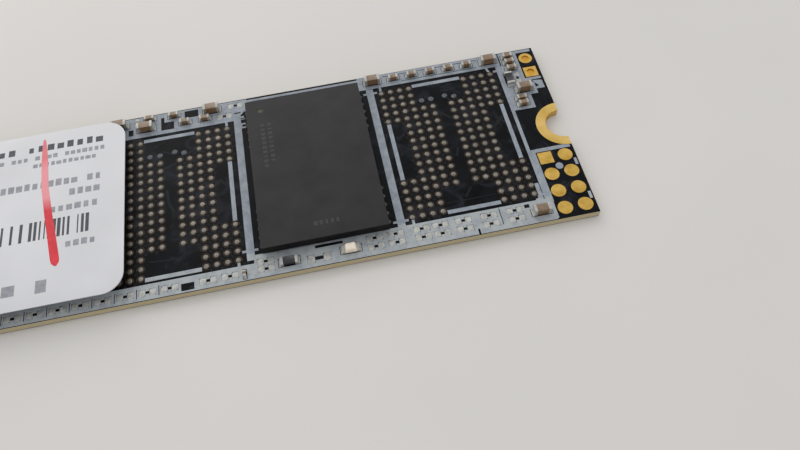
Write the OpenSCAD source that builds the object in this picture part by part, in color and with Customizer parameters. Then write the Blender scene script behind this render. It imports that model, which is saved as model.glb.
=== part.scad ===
// Gumstick solid state drive: a narrow card with one bare black board.
// The far side of the card is +Y, the contacts are at -X and the screw notch at +X.
// The underside of the board is the plane z = 0, and the card's centre is over the origin.

/* [Card] */
// Length of the card, from its contact edge to its screw edge
card_l = 80; // [77:1:110]
// Width of the card
card_w = 22; // [22:0.5:30]
// Thickness of the board
board_t = 0.8; // [0.6:0.1:1.2]
// Thickness of the gold that lies flush in the solder mask
gold_t = 0.03; // [0.02:0.01:0.05]
// Thickness of the ink printed on the board
ink_t = 0.02; // [0.01:0.01:0.03]

/* [Contact tongue] */
// Length of the tongue that enters the socket, up to its shoulders
tongue_l = 4; // [3.6:0.1:4.4]
// Depth of the shoulder beside the tongue, on each side
shoulder_w = 1.075; // [0.8:0.025:1.5]
// Bare board beside the last contact of a row
tongue_margin = 0.5; // [0.3:0.05:0.6]
// Radius that the router leaves in the shoulders
shoulder_r = 0.5; // [0.3:0.1:0.8]
// Spacing of the contacts in one row
contact_pitch = 0.5; // [0.45:0.01:0.52]
// Width of a contact
contact_w = 0.35; // [0.25:0.05:0.4]
// Length of a contact
contact_l = 2.5; // [2:0.1:2.8]
// Bare board between the contact edge and the contacts
contact_setback = 0.4; // [0.35:0.05:0.6]
// Width of a key slot
key_w = 1.2; // [0.8:0.1:1.3]
// Depth of a key slot, from the contact edge
key_l = 3.5; // [3:0.1:3.8]
// Least bare board between a key slot and the contact beside it
key_clearance = 0.2; // [0.1:0.05:0.3]
// Depth of the bevel along the contact edge, on each face
bevel_t = 0.12; // [0.05:0.01:0.2]
// Length of the bevel along the contact edge
bevel_l = 0.3; // [0.2:0.05:0.35]

/* [Screw notch] */
// Radius of the half-round notch that the screw holds
notch_r = 1.75; // [1.5:0.05:2]
// Width of the gold ring around the notch
ring_w = 1; // [0.6:0.1:1.2]
// Thickness of the plating on the walls of the notch and the jumper holes
plating_t = 0.03; // [0.02:0.01:0.1]

/* [Memory sites] */
// Spacing of the four memory sites along the card
site_pitch = 14.3; // [13.9:0.1:14.8]
// Distance from the screw edge to the centre of the first site
first_site = 11.4; // [11:0.1:12]
// Offset of a site from the middle of the card, towards the far side
site_y = 0.28; // [0:0.02:0.5]
// Offset of the third site, which is turned the other way
turned_site_y = -0.69; // [-0.8:0.01:-0.5]
// Spacing of the solder lands of a memory site
land_pitch = 1; // [0.95:0.01:1.02]
// Diameter of a tinned solder land
land_d = 0.5; // [0.4:0.02:0.6]
// Height of the solder on a bare land
land_h = 0.08; // [0.05:0.01:0.12]

/* [Packages] */
// Width of a memory package along the card
memory_w = 12; // [11.4:0.1:12.6]
// Width of the band beside a memory package, along each long edge, that holds chip parts
part_band = 2; // [1.8:0.1:2.4]
// Thickness of a memory package
memory_t = 1; // [0.8:0.05:1.3]
// Gap between the board and a package, which the solder balls fill
standoff = 0.25; // [0.18:0.01:0.35]
// Diameter of a memory package's solder ball before its ends are flattened
ball_d = 0.46; // [0.4:0.01:0.5]
// Side of the square controller package
controller_w = 9; // [8:0.5:10]
// Thickness of the controller package
controller_t = 1; // [0.8:0.05:1]
// Gap between the controller and the memory package beside it
controller_gap = 2.4; // [1.8:0.1:3]
// Offset of the controller from the middle of the card, towards the far side
controller_y = -0.3; // [-0.6:0.1:0.6]
// Spacing of the controller's solder balls
fine_pitch = 0.8; // [0.65:0.05:0.85]
// Diameter of the controller's solder balls before their ends are flattened
fine_ball_d = 0.42; // [0.38:0.01:0.45]
// Number of solder balls in a row of the controller
fine_count = 10; // [6:2:10]
// Diameter of the shallow dimple that marks the first ball's corner
dimple_d = 0.6; // [0.4:0.1:1]
// Depth of that dimple
dimple_t = 0.04; // [0.02:0.01:0.1]

/* [Label] */
// Length of the label along the card
label_l = 31.3; // [29:0.1:36]
// Bare board beside the label, along each long edge
label_margin = 1; // [0.5:0.1:2]
// Thickness of the label
label_t = 0.1; // [0.05:0.01:0.2]
// Corner radius of the label
label_r = 2; // [1:0.1:4]
// Length of the label that stands out past the memory package under it
label_overhang = 4.2; // [3:0.1:5]
// Offset of the label from the middle of the card, towards the near side
label_drop = 0.15; // [0:0.05:0.3]

/* [Chip parts] */
// Length of a large chip capacitor
bulk_l = 1.6; // [1.4:0.05:1.7]
// Width of a large chip capacitor
bulk_w = 0.8; // [0.6:0.05:0.9]
// Height of a large chip capacitor
bulk_h = 0.8; // [0.5:0.05:0.9]
// Length of the metal end of a large chip part
bulk_end = 0.25; // [0.2:0.05:0.45]
// Length of a small chip capacitor
small_l = 1; // [0.9:0.05:1.1]
// Width of a small chip capacitor
small_w = 0.5; // [0.4:0.05:0.6]
// Height of a small chip capacitor
small_h = 0.5; // [0.3:0.05:0.6]
// Length of the metal end of a small chip part
small_end = 0.2; // [0.15:0.05:0.3]
// Spacing of the row of small capacitors beside the first memory site
row_pitch = 2.03; // [1.8:0.01:2.1]
// Height of a chip resistor
resistor_h = 0.45; // [0.3:0.05:0.6]
// How far the metal ends stand proud of a chip part's body
end_proud = 0.02; // [0.01:0.01:0.04]
// Thickness of the tinned lands under chip parts
pad_t = 0.03; // [0.02:0.01:0.05]
// Length of the solder fillet outside the end of a chip part
fillet_l = 0.18; // [0.1:0.02:0.22]
// Share of a chip part's height that its solder fillet climbs
fillet_rise = 0.55; // [0.3:0.05:0.8]

/* [Light] */
// Height of the white base of the status light
light_base_h = 0.3; // [0.2:0.05:0.4]
// Height of the cream lens on the status light
light_lens_h = 0.3; // [0.2:0.05:0.5]
// Length of the lens at its foot
light_lens_l = 1.1; // [0.8:0.05:1.2]

/* [Gold pads] */
// Diameter of a round service pad
service_d = 1.45; // [1:0.05:1.6]
// Spacing of the service pads
service_pitch = 2; // [1.8:0.05:2.05]
// Bare board between the gold ring and the first row of service pads
service_gap = 0.4; // [0.2:0.05:0.5]
// Side of the square pads
square_pad_w = 1.4; // [1:0.05:1.5]
// Diameter of the plated hole in a jumper pad
jumper_hole_d = 0.8; // [0.6:0.05:0.9]
// Depth of the hollow left over the metal that fills a jumper hole
jumper_dip = 0.1; // [0.05:0.05:0.3]

/* [Printed marks] */
// Width of the wide bars between the memory sites
bar_w = 0.75; // [0.5:0.05:0.9]
// Width of the lines around an open memory site
outline_w = 0.42; // [0.2:0.02:0.5]
// Bare margin that the print leaves around a solder land
print_gap = 0.06; // [0.04:0.01:0.08]
// Width of the short ticks that lead from a printed strip to a corner land
tick_w = 0.26; // [0.15:0.01:0.4]
// Share of the pads' width that stays black between the two pads of an empty place
dot_share = 0.5; // [0.3:0.05:0.8]
// Width of the thin black lines left in the printed strips
slit_w = 0.08; // [0.05:0.01:0.15]

/* [Hidden] */
$fn = 48;
screw_x = card_l / 2;
contact_x = -card_l / 2;
far_y = card_w / 2;
near_y = -card_w / 2;
eps = 1;

function from_screw(d) = screw_x - d;
function from_far(d) = far_y - d;
function from_near(d) = near_y + d;

tongue_w = card_w - 2 * shoulder_w;
contact_steps = floor((tongue_w - contact_w - 2 * tongue_margin) / contact_pitch + 0.001);
key_steps = [11.25, -12.25];
mask_setback = 0.15;
mask_edge = contact_setback + contact_l + mask_setback;

function site_x(k) = from_screw(first_site + k * site_pitch);
function site_mid(k) = [site_x(k), k == 2 ? turned_site_y : site_y];
memory_l = card_w - 2 * part_band;
land_inset = 0.75;
site_cols = 6;
site_rows = floor((memory_l / 2 - land_inset) / land_pitch);
inner_cols = 2;
inner_rows = site_rows - 3;
middle_cols = 4;
outer_rows = site_rows - 4;
memory_cols = 5;
function on_site(c, r) =
  let (a = abs(c), b = abs(r))
  a == 0 ? false : a <= inner_cols ? b <= inner_rows : a <= middle_cols ? true : b >= outer_rows;

package_top = board_t + standoff + memory_t;
controller_mid = [site_x(3) - memory_w / 2 - controller_gap - controller_w / 2, controller_y];
label_w = card_w - 2 * label_margin;
label_mid = [site_x(3) + memory_w / 2 + label_overhang - label_l / 2, -label_drop];

row_count = 5;
bulk_places = [
  [from_screw(18.05), from_far(0.95)],
  [from_screw(5.2), from_far(0.95)],
  [from_screw(2.5), from_far(5.67)],
  [from_screw(5.35), from_near(1.18)],
  [from_screw(35.4), from_far(0.83)],
  [from_screw(42.35), from_far(1.8)],
  [from_screw(45.1), from_far(0.92)]
];
row_places = [for (i = [0:row_count - 1]) [from_screw(15.75 - i * row_pitch), from_far(0.95)]];
corner_places = [for (d = [0.8, 1.64, 2.55]) [from_screw(3), from_far(d)]];
notch_places = [for (d = [6.92, 7.67]) [from_screw(3.15), from_far(d)]];
strip_places = [
  [from_screw(41.95), from_far(0.6)],
  [from_screw(39.4), from_far(0.69)],
  [from_screw(38.27), from_far(1.88)],
  [from_screw(36.18), from_far(1.88)]
];
pull_up_place = [from_screw(29.4), from_near(1.1)];
column_resistor_place = [from_screw(3.63), from_far(4.02)];
light_place = [from_screw(23.65), from_near(1.15)];
tiny_place = [from_screw(33.55), from_near(0.7)];
tiny_size = [0.6, 0.3, 0.3];
tiny_end = 0.15;

part_gap = 0.9;
controller_far = controller_y + controller_w / 2;
controller_near = controller_y - controller_w / 2;
crystal_size = [2.5, 2, 0.35];
crystal_lid = [2.2, 1.7, 0.25];
crystal_gap = 1.2;
crystal_place = [controller_mid[0] + 0.5, controller_far + crystal_gap + crystal_size[1] / 2];
regulator_w = 3;
regulator_t = 0.75;
regulator_gap = 1.1;
regulator_place = [controller_mid[0] - 1.2, controller_near - regulator_gap - regulator_w / 2];
inductor_size = [2, 1.6, 1];
inductor_step = inductor_size[0] + part_gap;
first_inductor = regulator_place + [regulator_w / 2 + part_gap + inductor_size[0] / 2, 0.4];
inductor_places = [for (i = [0, 1]) first_inductor + [i * inductor_step, 0]];
input_gap = 0.5;
input_step = small_l + part_gap;
first_input = [controller_mid[0] - controller_w / 2 + 1.4, controller_near - input_gap - small_w / 2];
input_places = [for (i = [0:2]) first_input + [i * input_step, 0]];

spare_pad = [0.5, 0.56];
spare_reach = 0.48;
spare_pitch = 2;
spare_under_label = 6;
spare_far = [[from_screw(32.9), from_far(0.72)], [from_screw(34.15), from_far(1.94)]];
spare_near = concat(
  [for (i = [-spare_under_label:6]) [from_screw(52.4 - i * spare_pitch), from_near(0.8)]],
  [[from_screw(36.9), from_near(0.8)], [from_screw(34.9), from_near(0.8)]]
);
spare_dividers = [for (i = [-spare_under_label:5]) from_screw(51.4 - i * spare_pitch)];
spare_middle = [for (d = [0.85, 1.65]) [from_screw(31.55), from_near(d)]];
spare_right = [
  for (d = [21.3, 19.3, 16.8, 15, 12.8, 10.3, 7.8]) for (y = [0.93, 1.85]) [from_screw(d), from_near(y)]
];
wide_spare_place = [from_screw(26.65), from_near(0.9)];
wide_spare_pad = [0.6, 0.75];
wide_spare_reach = 0.75;
upright_spare_place = [from_screw(2.68), from_far(3.92)];
narrow_spare_place = [from_screw(43.3), from_far(0.6)];
narrow_spare_pad = [0.3, 0.35];
narrow_spare_reach = 0.27;

jumper_round = [from_screw(1.05), from_far(1.37)];
jumper_square = [from_screw(1.05), from_far(3.4)];
ring_r = notch_r + ring_w;
service_origin = [from_screw(3.05), -ring_r - service_gap - service_d / 2];
service_edge = 0.3;
service_room = service_origin[1] - service_d / 2 - near_y - service_edge;
service_rows = 1 + floor(service_room / service_pitch);
service_places = [
  for (r = [0:service_rows - 1]) for (c = [0, 1]) service_origin + [c * service_pitch, -r * service_pitch]
];

column_out = 4.62;
column_in = 4.18;
column_slit = 3.87;
frame_out = 2;
service_dot_d = 0.75;
service_line_w = 0.42;
service_top = service_origin[1] + 1.22;

bulk_count = len(bulk_places);
corner_count = len(corner_places);
notch_count = len(notch_places);
strip_count = len(strip_places);
inductor_count = len(inductor_places);
input_count = len(input_places);

mask_black = [0.11, 0.12, 0.13];
gold = [0.78, 0.63, 0.35];
tin = [0.68, 0.67, 0.64];
ink_white = [0.6, 0.64, 0.67];
mould_grey = [0.24, 0.24, 0.24];
paper_white = [0.83, 0.83, 0.84];
ceramic_brown = [0.45, 0.33, 0.24];
resistor_black = [0.08, 0.08, 0.09];
cream = [0.9, 0.83, 0.74];
steel = [0.72, 0.72, 0.72];

// Profiles for turned shapes

function cap_profile(r, h, steps = 4) =
  let (ball = (r * r + h * h) / (2 * h), reach = asin(r / ball))
  concat(
    [[0, 0]],
    [for (i = [0:steps - 1]) let (a = reach * (1 - i / steps)) [ball * sin(a), ball * cos(a) - ball + h]],
    [[0, ball * cos(reach / steps) - ball + h]]
  );

function barrel_profile(d, h, steps = 4) =
  concat(
    [[0, 0]],
    [for (i = [0:steps]) let (z = h * i / steps) [sqrt(d * d / 4 - (z - h / 2) * (z - h / 2)), z]],
    [[0, h]]
  );

module solder_dome() {
  rotate_extrude($fn = 24) polygon(cap_profile(land_d / 2, land_h));
}

module solder_ball(d) {
  rotate_extrude($fn = 24) polygon(barrel_profile(d, standoff));
}

module at_lands(k, first_col, last_col) {
  for (c = [-site_cols:site_cols])
    for (r = [-site_rows:site_rows])
      if (on_site(c, r) && abs(c) >= first_col && abs(c) <= last_col)
        translate([site_mid(k)[0] + c * land_pitch, site_mid(k)[1] + r * land_pitch, board_t]) children();
}

module rounded_sheet(l, w, r) {
  square([l - 2 * r, w], center = true);
  square([l, w - 2 * r], center = true);
  for (x = [-1, 1], y = [-1, 1]) translate([x * (l / 2 - r), y * (w / 2 - r)]) circle(r = r);
}

// Board with its tongue, key slots, notch and mask windows

module shoulder_cut() {
  step = far_y - tongue_w / 2;
  difference() {
    translate([contact_x - eps, tongue_w / 2]) square([tongue_l + eps, step + eps]);
    translate([contact_x + tongue_l - shoulder_r, tongue_w / 2]) difference() {
      square(shoulder_r);
      translate([0, shoulder_r]) circle(r = shoulder_r);
    }
  }
}

module key_slot(steps) {
  translate([contact_x, steps * contact_pitch]) {
    translate([-eps, -key_w / 2]) square([key_l - key_w / 2 + eps, key_w]);
    translate([key_l - key_w / 2, 0]) circle(d = key_w);
  }
}

module board_outline() {
  difference() {
    translate([contact_x, near_y]) square([card_l, card_w]);
    shoulder_cut();
    mirror([0, 1]) shoulder_cut();
    for (s = key_steps) key_slot(s);
    translate([screw_x, 0]) circle(r = notch_r + plating_t);
  }
}

module edge_bevel() {
  rotate([90, 0, 0]) translate([0, 0, -far_y]) linear_extrude(card_w) polygon([
    [contact_x - eps, -eps],
    [contact_x + bevel_l, -eps],
    [contact_x + bevel_l, 0],
    [contact_x, bevel_t],
    [contact_x - eps, bevel_t]
  ]);
}

module contact_window() {
  translate([contact_x - eps, near_y, -eps]) cube([mask_edge + eps, card_w, gold_t + eps]);
}

module on_both_faces() {
  children();
  translate([0, 0, board_t]) mirror([0, 0, 1]) children();
}

module pad_windows() {
  window_z = board_t - gold_t;
  translate([0, 0, window_z]) for (i = [1:len(service_places) - 1])
    translate(service_places[i]) cylinder(d = service_d, h = gold_t + eps);
  translate([service_origin[0] - square_pad_w / 2, service_origin[1] - square_pad_w / 2, window_z])
    cube([square_pad_w, square_pad_w, gold_t + eps]);
  on_both_faces() jumper_round_window();
  on_both_faces() jumper_square_window();
  for (p = [jumper_round, jumper_square])
    translate([p[0], p[1], -eps]) cylinder(d = jumper_hole_d + 2 * plating_t, h = board_t + 2 * eps);
}

module jumper_round_window() {
  translate([jumper_round[0], jumper_round[1], -eps]) cylinder(d = service_d, h = gold_t + eps);
}

module jumper_square_window() {
  translate([jumper_square[0] - square_pad_w / 2, jumper_square[1] - square_pad_w / 2, -eps])
    cube([square_pad_w, square_pad_w, gold_t + eps]);
}

module circuit_board() {
  color(mask_black) difference() {
    linear_extrude(board_t) board_outline();
    on_both_faces() edge_bevel();
    on_both_faces() contact_window();
    on_both_faces() translate([screw_x, 0, -eps]) cylinder(r = ring_r, h = gold_t + eps);
    pad_windows();
  }
}

// Gold on the board

module notch_plating() {
  color(gold) intersection() {
    translate([screw_x, 0, 0]) difference() {
      union() {
        cylinder(r = notch_r + plating_t, h = board_t);
        on_both_faces() cylinder(r = ring_r, h = gold_t);
      }
      translate([0, 0, -eps]) cylinder(r = notch_r, h = board_t + 2 * eps);
    }
    translate([0, near_y, 0]) cube([screw_x, card_w, board_t]);
  }
}

function key_reach(step) = min([for (s = key_steps) abs(step - s)]) * contact_pitch;
function clear_of_keys(step) = key_reach(step) > (key_w + contact_w) / 2 + key_clearance;

module contact(steps) {
  translate([contact_x + contact_setback, steps * contact_pitch - contact_w / 2, 0])
    cube([contact_l, contact_w, gold_t]);
}

module contact_row(steps) {
  for (i = [0:steps]) if (clear_of_keys(steps / 2 - i)) contact(steps / 2 - i);
}

module edge_contacts_top() {
  color(gold) translate([0, 0, board_t - gold_t]) contact_row(contact_steps);
}

module edge_contacts_bottom() {
  color(gold) contact_row(contact_steps - 1);
}

module jumper_barrel(place) {
  fill_top = board_t - jumper_dip;
  translate([place[0], place[1], 0]) difference() {
    cylinder(d = jumper_hole_d + 2 * plating_t, h = board_t);
    translate([0, 0, fill_top]) cylinder(d = jumper_hole_d, h = jumper_dip + eps);
  }
}

module jumper_pad_round() {
  color(gold) {
    jumper_barrel(jumper_round);
    on_both_faces() translate([jumper_round[0], jumper_round[1], 0]) difference() {
      cylinder(d = service_d, h = gold_t);
      translate([0, 0, -eps]) cylinder(d = jumper_hole_d + plating_t, h = gold_t + 2 * eps);
    }
  }
}

module jumper_pad_square() {
  color(gold) {
    jumper_barrel(jumper_square);
    on_both_faces() translate([jumper_square[0], jumper_square[1], 0]) difference() {
      translate([-square_pad_w / 2, -square_pad_w / 2, 0]) cube([square_pad_w, square_pad_w, gold_t]);
      translate([0, 0, -eps]) cylinder(d = jumper_hole_d + plating_t, h = gold_t + 2 * eps);
    }
  }
}

module service_pad_square() {
  corner = service_origin - [square_pad_w / 2, square_pad_w / 2];
  color(gold) translate([corner[0], corner[1], board_t - gold_t])
    cube([square_pad_w, square_pad_w, gold_t]);
}

module service_pads_round() {
  color(gold) translate([0, 0, board_t - gold_t]) for (i = [1:len(service_places) - 1])
    translate(service_places[i]) cylinder(d = service_d, h = gold_t);
}

// White print

module box_from(x0, x1, y0, y1) {
  translate([min(x0, x1), min(y0, y1)]) square([abs(x1 - x0), abs(y1 - y0)]);
}

module far_strips() {
  box_from(from_screw(19.65), from_screw(4.5), from_far(1.85), from_far(0.05));
  box_from(from_screw(31.7), from_screw(19.65), from_far(0.55), from_far(0.25));
  box_from(from_screw(52), from_screw(31.7), from_far(2.85), from_far(0.1));
}

module near_strips() {
  box_from(from_screw(32.6), from_screw(4.1), from_near(0.05), from_near(2.5));
  box_from(from_screw(70), from_screw(32.6), from_near(0.05), from_near(1.63));
}

module black_fields() {
  box_from(from_screw(44.2), from_screw(43.7), from_far(2.42), from_far(1.62));
  box_from(from_screw(40.8), from_screw(39.45), from_far(2.39), from_far(1.36));
  box_from(from_screw(40.8), from_screw(40.45), from_far(1.5), from_far(0.65));
  box_from(from_screw(38.3), from_screw(36.85), from_far(1.25), from_far(0.3));
  box_from(from_screw(33.1), from_screw(31.9), from_far(2.75), from_far(1.75));
  box_from(from_screw(39.36), from_screw(38.16), from_near(0.22), from_near(0.97));
  box_from(from_screw(26.9), from_screw(24.3), from_near(1.95), from_near(2.25));
  box_from(from_screw(11.7), from_screw(11.5), from_near(0.05), from_near(0.65));
  box_from(from_screw(6.8), from_screw(6.3), from_near(1.85), from_near(2.25));
}

module strip_slits() {
  box_from(from_screw(14.9), from_screw(6.6), from_far(1.4) - slit_w, from_far(1.4));
  box_from(from_screw(16.9), from_screw(6.4), from_far(0.36) - slit_w, from_far(0.36));
  box_from(from_screw(9.25), from_screw(9.25) + slit_w, from_near(0.6), from_near(2.4));
  for (x = spare_dividers) box_from(x, x + slit_w, from_near(0.3), from_near(1.3));
}

module wide_bar(k) {
  x = site_x(k);
  box_from(x - bar_w / 2, x + bar_w / 2, from_near(2), from_far(1.9));
  for (y = [from_near(3.05), from_far(2.5)]) box_from(x - bar_w, x + bar_w, y - 0.13, y + 0.13);
}

module slanted_mark() {
  translate([site_x(1.5) + 0.1, from_far(2.55)]) rotate(48) square([1.5, 0.25]);
}

module site_outline(k) {
  end_gap = 0.8;
  reach_x = site_cols * land_pitch;
  reach_y = (site_rows + 0.22) * land_pitch;
  side_l = (2 * outer_rows - end_gap) * land_pitch;
  end_l = (2 * (inner_cols + 1) - end_gap) * land_pitch;
  translate(site_mid(k)) for (s = [-1, 1]) {
    translate([s * reach_x, 0]) square([outline_w, side_l], center = true);
    translate([0, s * reach_y]) square([end_l, outline_w], center = true);
  }
}

module tick_to_land(k, c, r, strip_y, lean = 0) {
  land = site_mid(k) + [c * land_pitch, r * land_pitch];
  polygon([
    [land[0] - tick_w / 2, land[1]],
    [land[0] + tick_w / 2, land[1]],
    [land[0] + tick_w / 2 + lean, strip_y],
    [land[0] - tick_w / 2 + lean, strip_y]
  ]);
}

module corner_ticks() {
  tick_to_land(0, -site_cols, site_rows, from_far(1.8));
  tick_to_land(0, site_cols, site_rows, from_far(1.8), -0.25);
  tick_to_land(0, -site_cols, -site_rows, from_near(2.45));
  tick_to_land(2, site_cols, site_rows, from_far(2.8));
  tick_to_land(2, site_cols, -site_rows, from_near(1.6));
}

module ink_blot() {
  blot = [from_screw(4.95), from_near(3.4)];
  translate(blot) {
    square([0.5, 2], center = true);
    for (p = [[-0.3, 0.75], [-0.4, -0.2], [-0.28, -0.9]]) translate(p) square([0.45, 0.35], center = true);
  }
}

module bar_loop() {
  translate([site_x(1.5) + 0.65, from_far(3.7)]) difference() {
    square([0.75, 0.7], center = true);
    square([0.35, 0.3], center = true);
  }
}

module narrow_parts_print() {
  box_from(from_screw(column_slit), from_screw(2.3), from_far(0.1), from_far(3));
  box_from(from_screw(column_in), from_screw(2.3), from_far(2.95), from_far(5.2));
  difference() {
    box_from(from_screw(column_in), from_screw(frame_out), from_far(6.45), from_far(8.35));
    box_from(from_screw(column_in), from_screw(column_slit), from_far(6.9), from_far(7.4));
  }
}

module notch_part_print() {
  difference() {
    polygon([
      [from_screw(column_in), from_far(5.15)],
      [from_screw(2.3), from_far(4.5)],
      [from_screw(1.75), from_far(4.5)],
      [from_screw(1.17), from_far(5.05)],
      [from_screw(1.17), from_far(6.5)],
      [from_screw(column_in), from_far(6.5)]
    ]);
    box_from(from_screw(4), from_screw(3.88), from_far(5.45), from_far(5.85));
  }
}

module jumper_print() {
  box_from(from_screw(2.35), from_screw(1.93), from_far(0.1), from_far(4.55));
  box_from(from_screw(2.35), from_screw(0.25), from_far(0.1), from_far(0.45));
  box_from(from_screw(2.35), from_screw(0.25), from_far(4.22), from_far(4.55));
  polygon([
    [from_screw(1.27), from_far(4.65)],
    [from_screw(0.27), from_far(4.8)],
    [from_screw(0.27), from_far(5.9)],
    [from_screw(1.2), from_far(5.9)],
    [from_screw(1.2), from_far(5.65)],
    [from_screw(0.77), from_far(5.5)],
    [from_screw(1.2), from_far(4.95)]
  ]);
}

module column_print() {
  box_from(from_screw(4.5), from_screw(4), from_far(3), from_far(0.1));
  box_from(from_screw(column_out), from_screw(column_in), service_top, from_far(2.9));
  box_from(from_screw(column_out), from_screw(3.95), from_near(0.15), service_top);
  narrow_parts_print();
  notch_part_print();
  jumper_print();
}

module service_print() {
  box_from(from_screw(column_out), from_screw(0.25), service_top - service_line_w, service_top);
  translate(service_origin) {
    translate([service_pitch / 2, -1.23]) circle(d = service_dot_d);
    for (y = [-1.03, -5.13]) box_from(2.63, 2.9, y - 0.4, y + 0.4);
  }
}

module chip_window(place, l, w, turn = 0) {
  translate(place) rotate(turn)
    square([l + 2 * fillet_l + 2 * print_gap, w + 2 * print_gap], center = true);
}

module pair_window(place, pad = spare_pad, reach = spare_reach, turn = 0) {
  translate(place) rotate(turn) {
    for (s = [-1, 1]) translate([s * reach, 0])
      square([pad[0] + 2 * print_gap, pad[1] + 2 * print_gap], center = true);
    square([2 * reach, pad[1] * dot_share], center = true);
  }
}

module print_windows() {
  for (p = bulk_places) chip_window(p, bulk_l, bulk_w);
  for (p = concat(row_places, corner_places, notch_places, strip_places)) chip_window(p, small_l, small_w);
  chip_window(pull_up_place, bulk_l, bulk_w);
  chip_window(light_place, bulk_l, bulk_w);
  chip_window(column_resistor_place, bulk_l, bulk_w, 90);
  chip_window(tiny_place, tiny_size[0], tiny_size[1], 90);
  for (p = concat(spare_far, spare_near, spare_middle, spare_right)) pair_window(p);
  pair_window(upright_spare_place, turn = 90);
  pair_window(narrow_spare_place, narrow_spare_pad, narrow_spare_reach, 90);
  pair_window(wide_spare_place, wide_spare_pad, wide_spare_reach);
  for (k = [0:3]) land_windows(k);
  for (p = [jumper_round, jumper_square]) translate(p) circle(d = service_d + 2 * print_gap);
  for (p = service_places) translate(p) circle(d = service_d + 2 * print_gap);
  translate([screw_x, 0]) circle(r = ring_r + print_gap);
}

module land_block(k, first, last) {
  margin = land_d / 2 + print_gap;
  translate(site_mid(k)) box_from(
    first[0] * land_pitch - margin, last[0] * land_pitch + margin,
    first[1] * land_pitch - margin, last[1] * land_pitch + margin
  );
}

module land_windows(k) {
  outer_l = site_rows - outer_rows;
  land_block(k, [-inner_cols, -inner_rows], [inner_cols, inner_rows]);
  for (c = [-middle_cols, middle_cols - 1]) land_block(k, [c, -site_rows], [c + 1, site_rows]);
  for (c = [-site_cols, site_cols - 1]) for (r = [-site_rows, outer_rows])
    land_block(k, [c, r], [c + 1, r + outer_l]);
}

module board_print() {
  color(ink_white) translate([0, 0, board_t]) linear_extrude(ink_t) difference() {
    union() {
      difference() {
        union() {
          far_strips();
          near_strips();
        }
        black_fields();
        strip_slits();
      }
      column_print();
      service_print();
      slanted_mark();
      bar_loop();
      corner_ticks();
      ink_blot();
      for (k = [-0.5, 0.5, 1.5, 2.5]) wide_bar(k);
      for (k = [0, 2]) site_outline(k);
    }
    print_windows();
  }
}

// Solder lands and balls

module bare_lands_right() {
  color(tin) at_lands(0, 1, site_cols) solder_dome();
}

module bare_lands_left() {
  color(tin) at_lands(2, 1, site_cols) solder_dome();
}

module memory_outer_lands() {
  color(tin) for (k = [1, 3]) at_lands(k, memory_cols + 1, site_cols) solder_dome();
}

module memory_solder_balls() {
  color(tin) at_lands(1, 1, memory_cols) solder_ball(ball_d);
}

module covered_memory_solder_balls() {
  color(tin) at_lands(3, 1, memory_cols) solder_ball(ball_d);
}

module controller_solder_balls() {
  first = -(fine_count - 1) / 2;
  color(tin) translate([controller_mid[0], controller_mid[1], board_t])
    for (i = [0:fine_count - 1]) for (j = [0:fine_count - 1])
      translate([(first + i) * fine_pitch, (first + j) * fine_pitch, 0]) solder_ball(fine_ball_d);
}

// Packages

module dimple(l, w, t, d, inset) {
  translate([-l / 2 + inset, w / 2 - inset, t - dimple_t]) cylinder(d = d, h = dimple_t + eps);
}

module ball_package(mid, l, w, t) {
  color(mould_grey) translate([mid[0], mid[1], board_t + standoff]) difference() {
    translate([-l / 2, -w / 2, 0]) cube([l, w, t]);
    dimple(l, w, t, dimple_d, 1.5);
  }
}

module memory_package() {
  ball_package(site_mid(1), memory_w, memory_l, memory_t);
}

module covered_memory_package() {
  ball_package(site_mid(3), memory_w, memory_l, memory_t);
}

module controller_package() {
  ball_package(controller_mid, controller_w, controller_w, controller_t);
}

module drive_label() {
  color(paper_white) translate([label_mid[0], label_mid[1], package_top])
    linear_extrude(label_t) rounded_sheet(label_l, label_w, label_r);
}

// Chip parts and their solder

module chip_part(place, size, end_l, body_colour, turn = 0) {
  l = size[0];
  w = size[1];
  h = size[2];
  translate([place[0], place[1], board_t + pad_t]) rotate(turn) {
    color(body_colour) translate([-l / 2 + end_l / 2, -w / 2 + end_proud, end_proud])
      cube([l - end_l, w - 2 * end_proud, h - 2 * end_proud]);
    color(tin) for (x = [-l / 2, l / 2 - end_l]) translate([x, -w / 2, 0]) cube([end_l, w, h]);
  }
}

module bulk_capacitor(i) {
  chip_part(bulk_places[i - 1], [bulk_l, bulk_w, bulk_h], bulk_end, ceramic_brown);
}

module small_capacitor(place) {
  chip_part(place, [small_l, small_w, small_h], small_end, ceramic_brown);
}

module power_inductor(i) {
  chip_part(inductor_places[i - 1], inductor_size, bulk_end, resistor_black);
}

module tiny_capacitor() {
  chip_part(tiny_place, tiny_size, tiny_end, ceramic_brown, 90);
}

module pull_up_resistor() {
  chip_part(pull_up_place, [bulk_l, bulk_w, resistor_h], bulk_end, resistor_black);
}

module column_resistor() {
  chip_part(column_resistor_place, [bulk_l, bulk_w, resistor_h], bulk_end, resistor_black, 90);
}

module light_base() {
  chip_part(light_place, [bulk_l, bulk_w, light_base_h], bulk_end, cream);
}

module light_lens() {
  foot = light_lens_l / 2;
  head = foot - light_lens_h * 0.4;
  lens_w = bulk_w - 2 * end_proud;
  color(cream) translate([light_place[0], light_place[1] + lens_w / 2, board_t + pad_t + light_base_h])
    rotate([90, 0, 0]) linear_extrude(lens_w)
      polygon([[-foot, 0], [foot, 0], [head, light_lens_h], [-head, light_lens_h]]);
}

module crystal_base() {
  color(mould_grey) translate([crystal_place[0], crystal_place[1], board_t])
    linear_extrude(crystal_size[2]) rounded_sheet(crystal_size[0], crystal_size[1], 0.2);
}

module crystal_cover() {
  color(steel) translate([crystal_place[0], crystal_place[1], board_t + crystal_size[2]])
    linear_extrude(crystal_lid[2]) rounded_sheet(crystal_lid[0], crystal_lid[1], 0.3);
}

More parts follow.
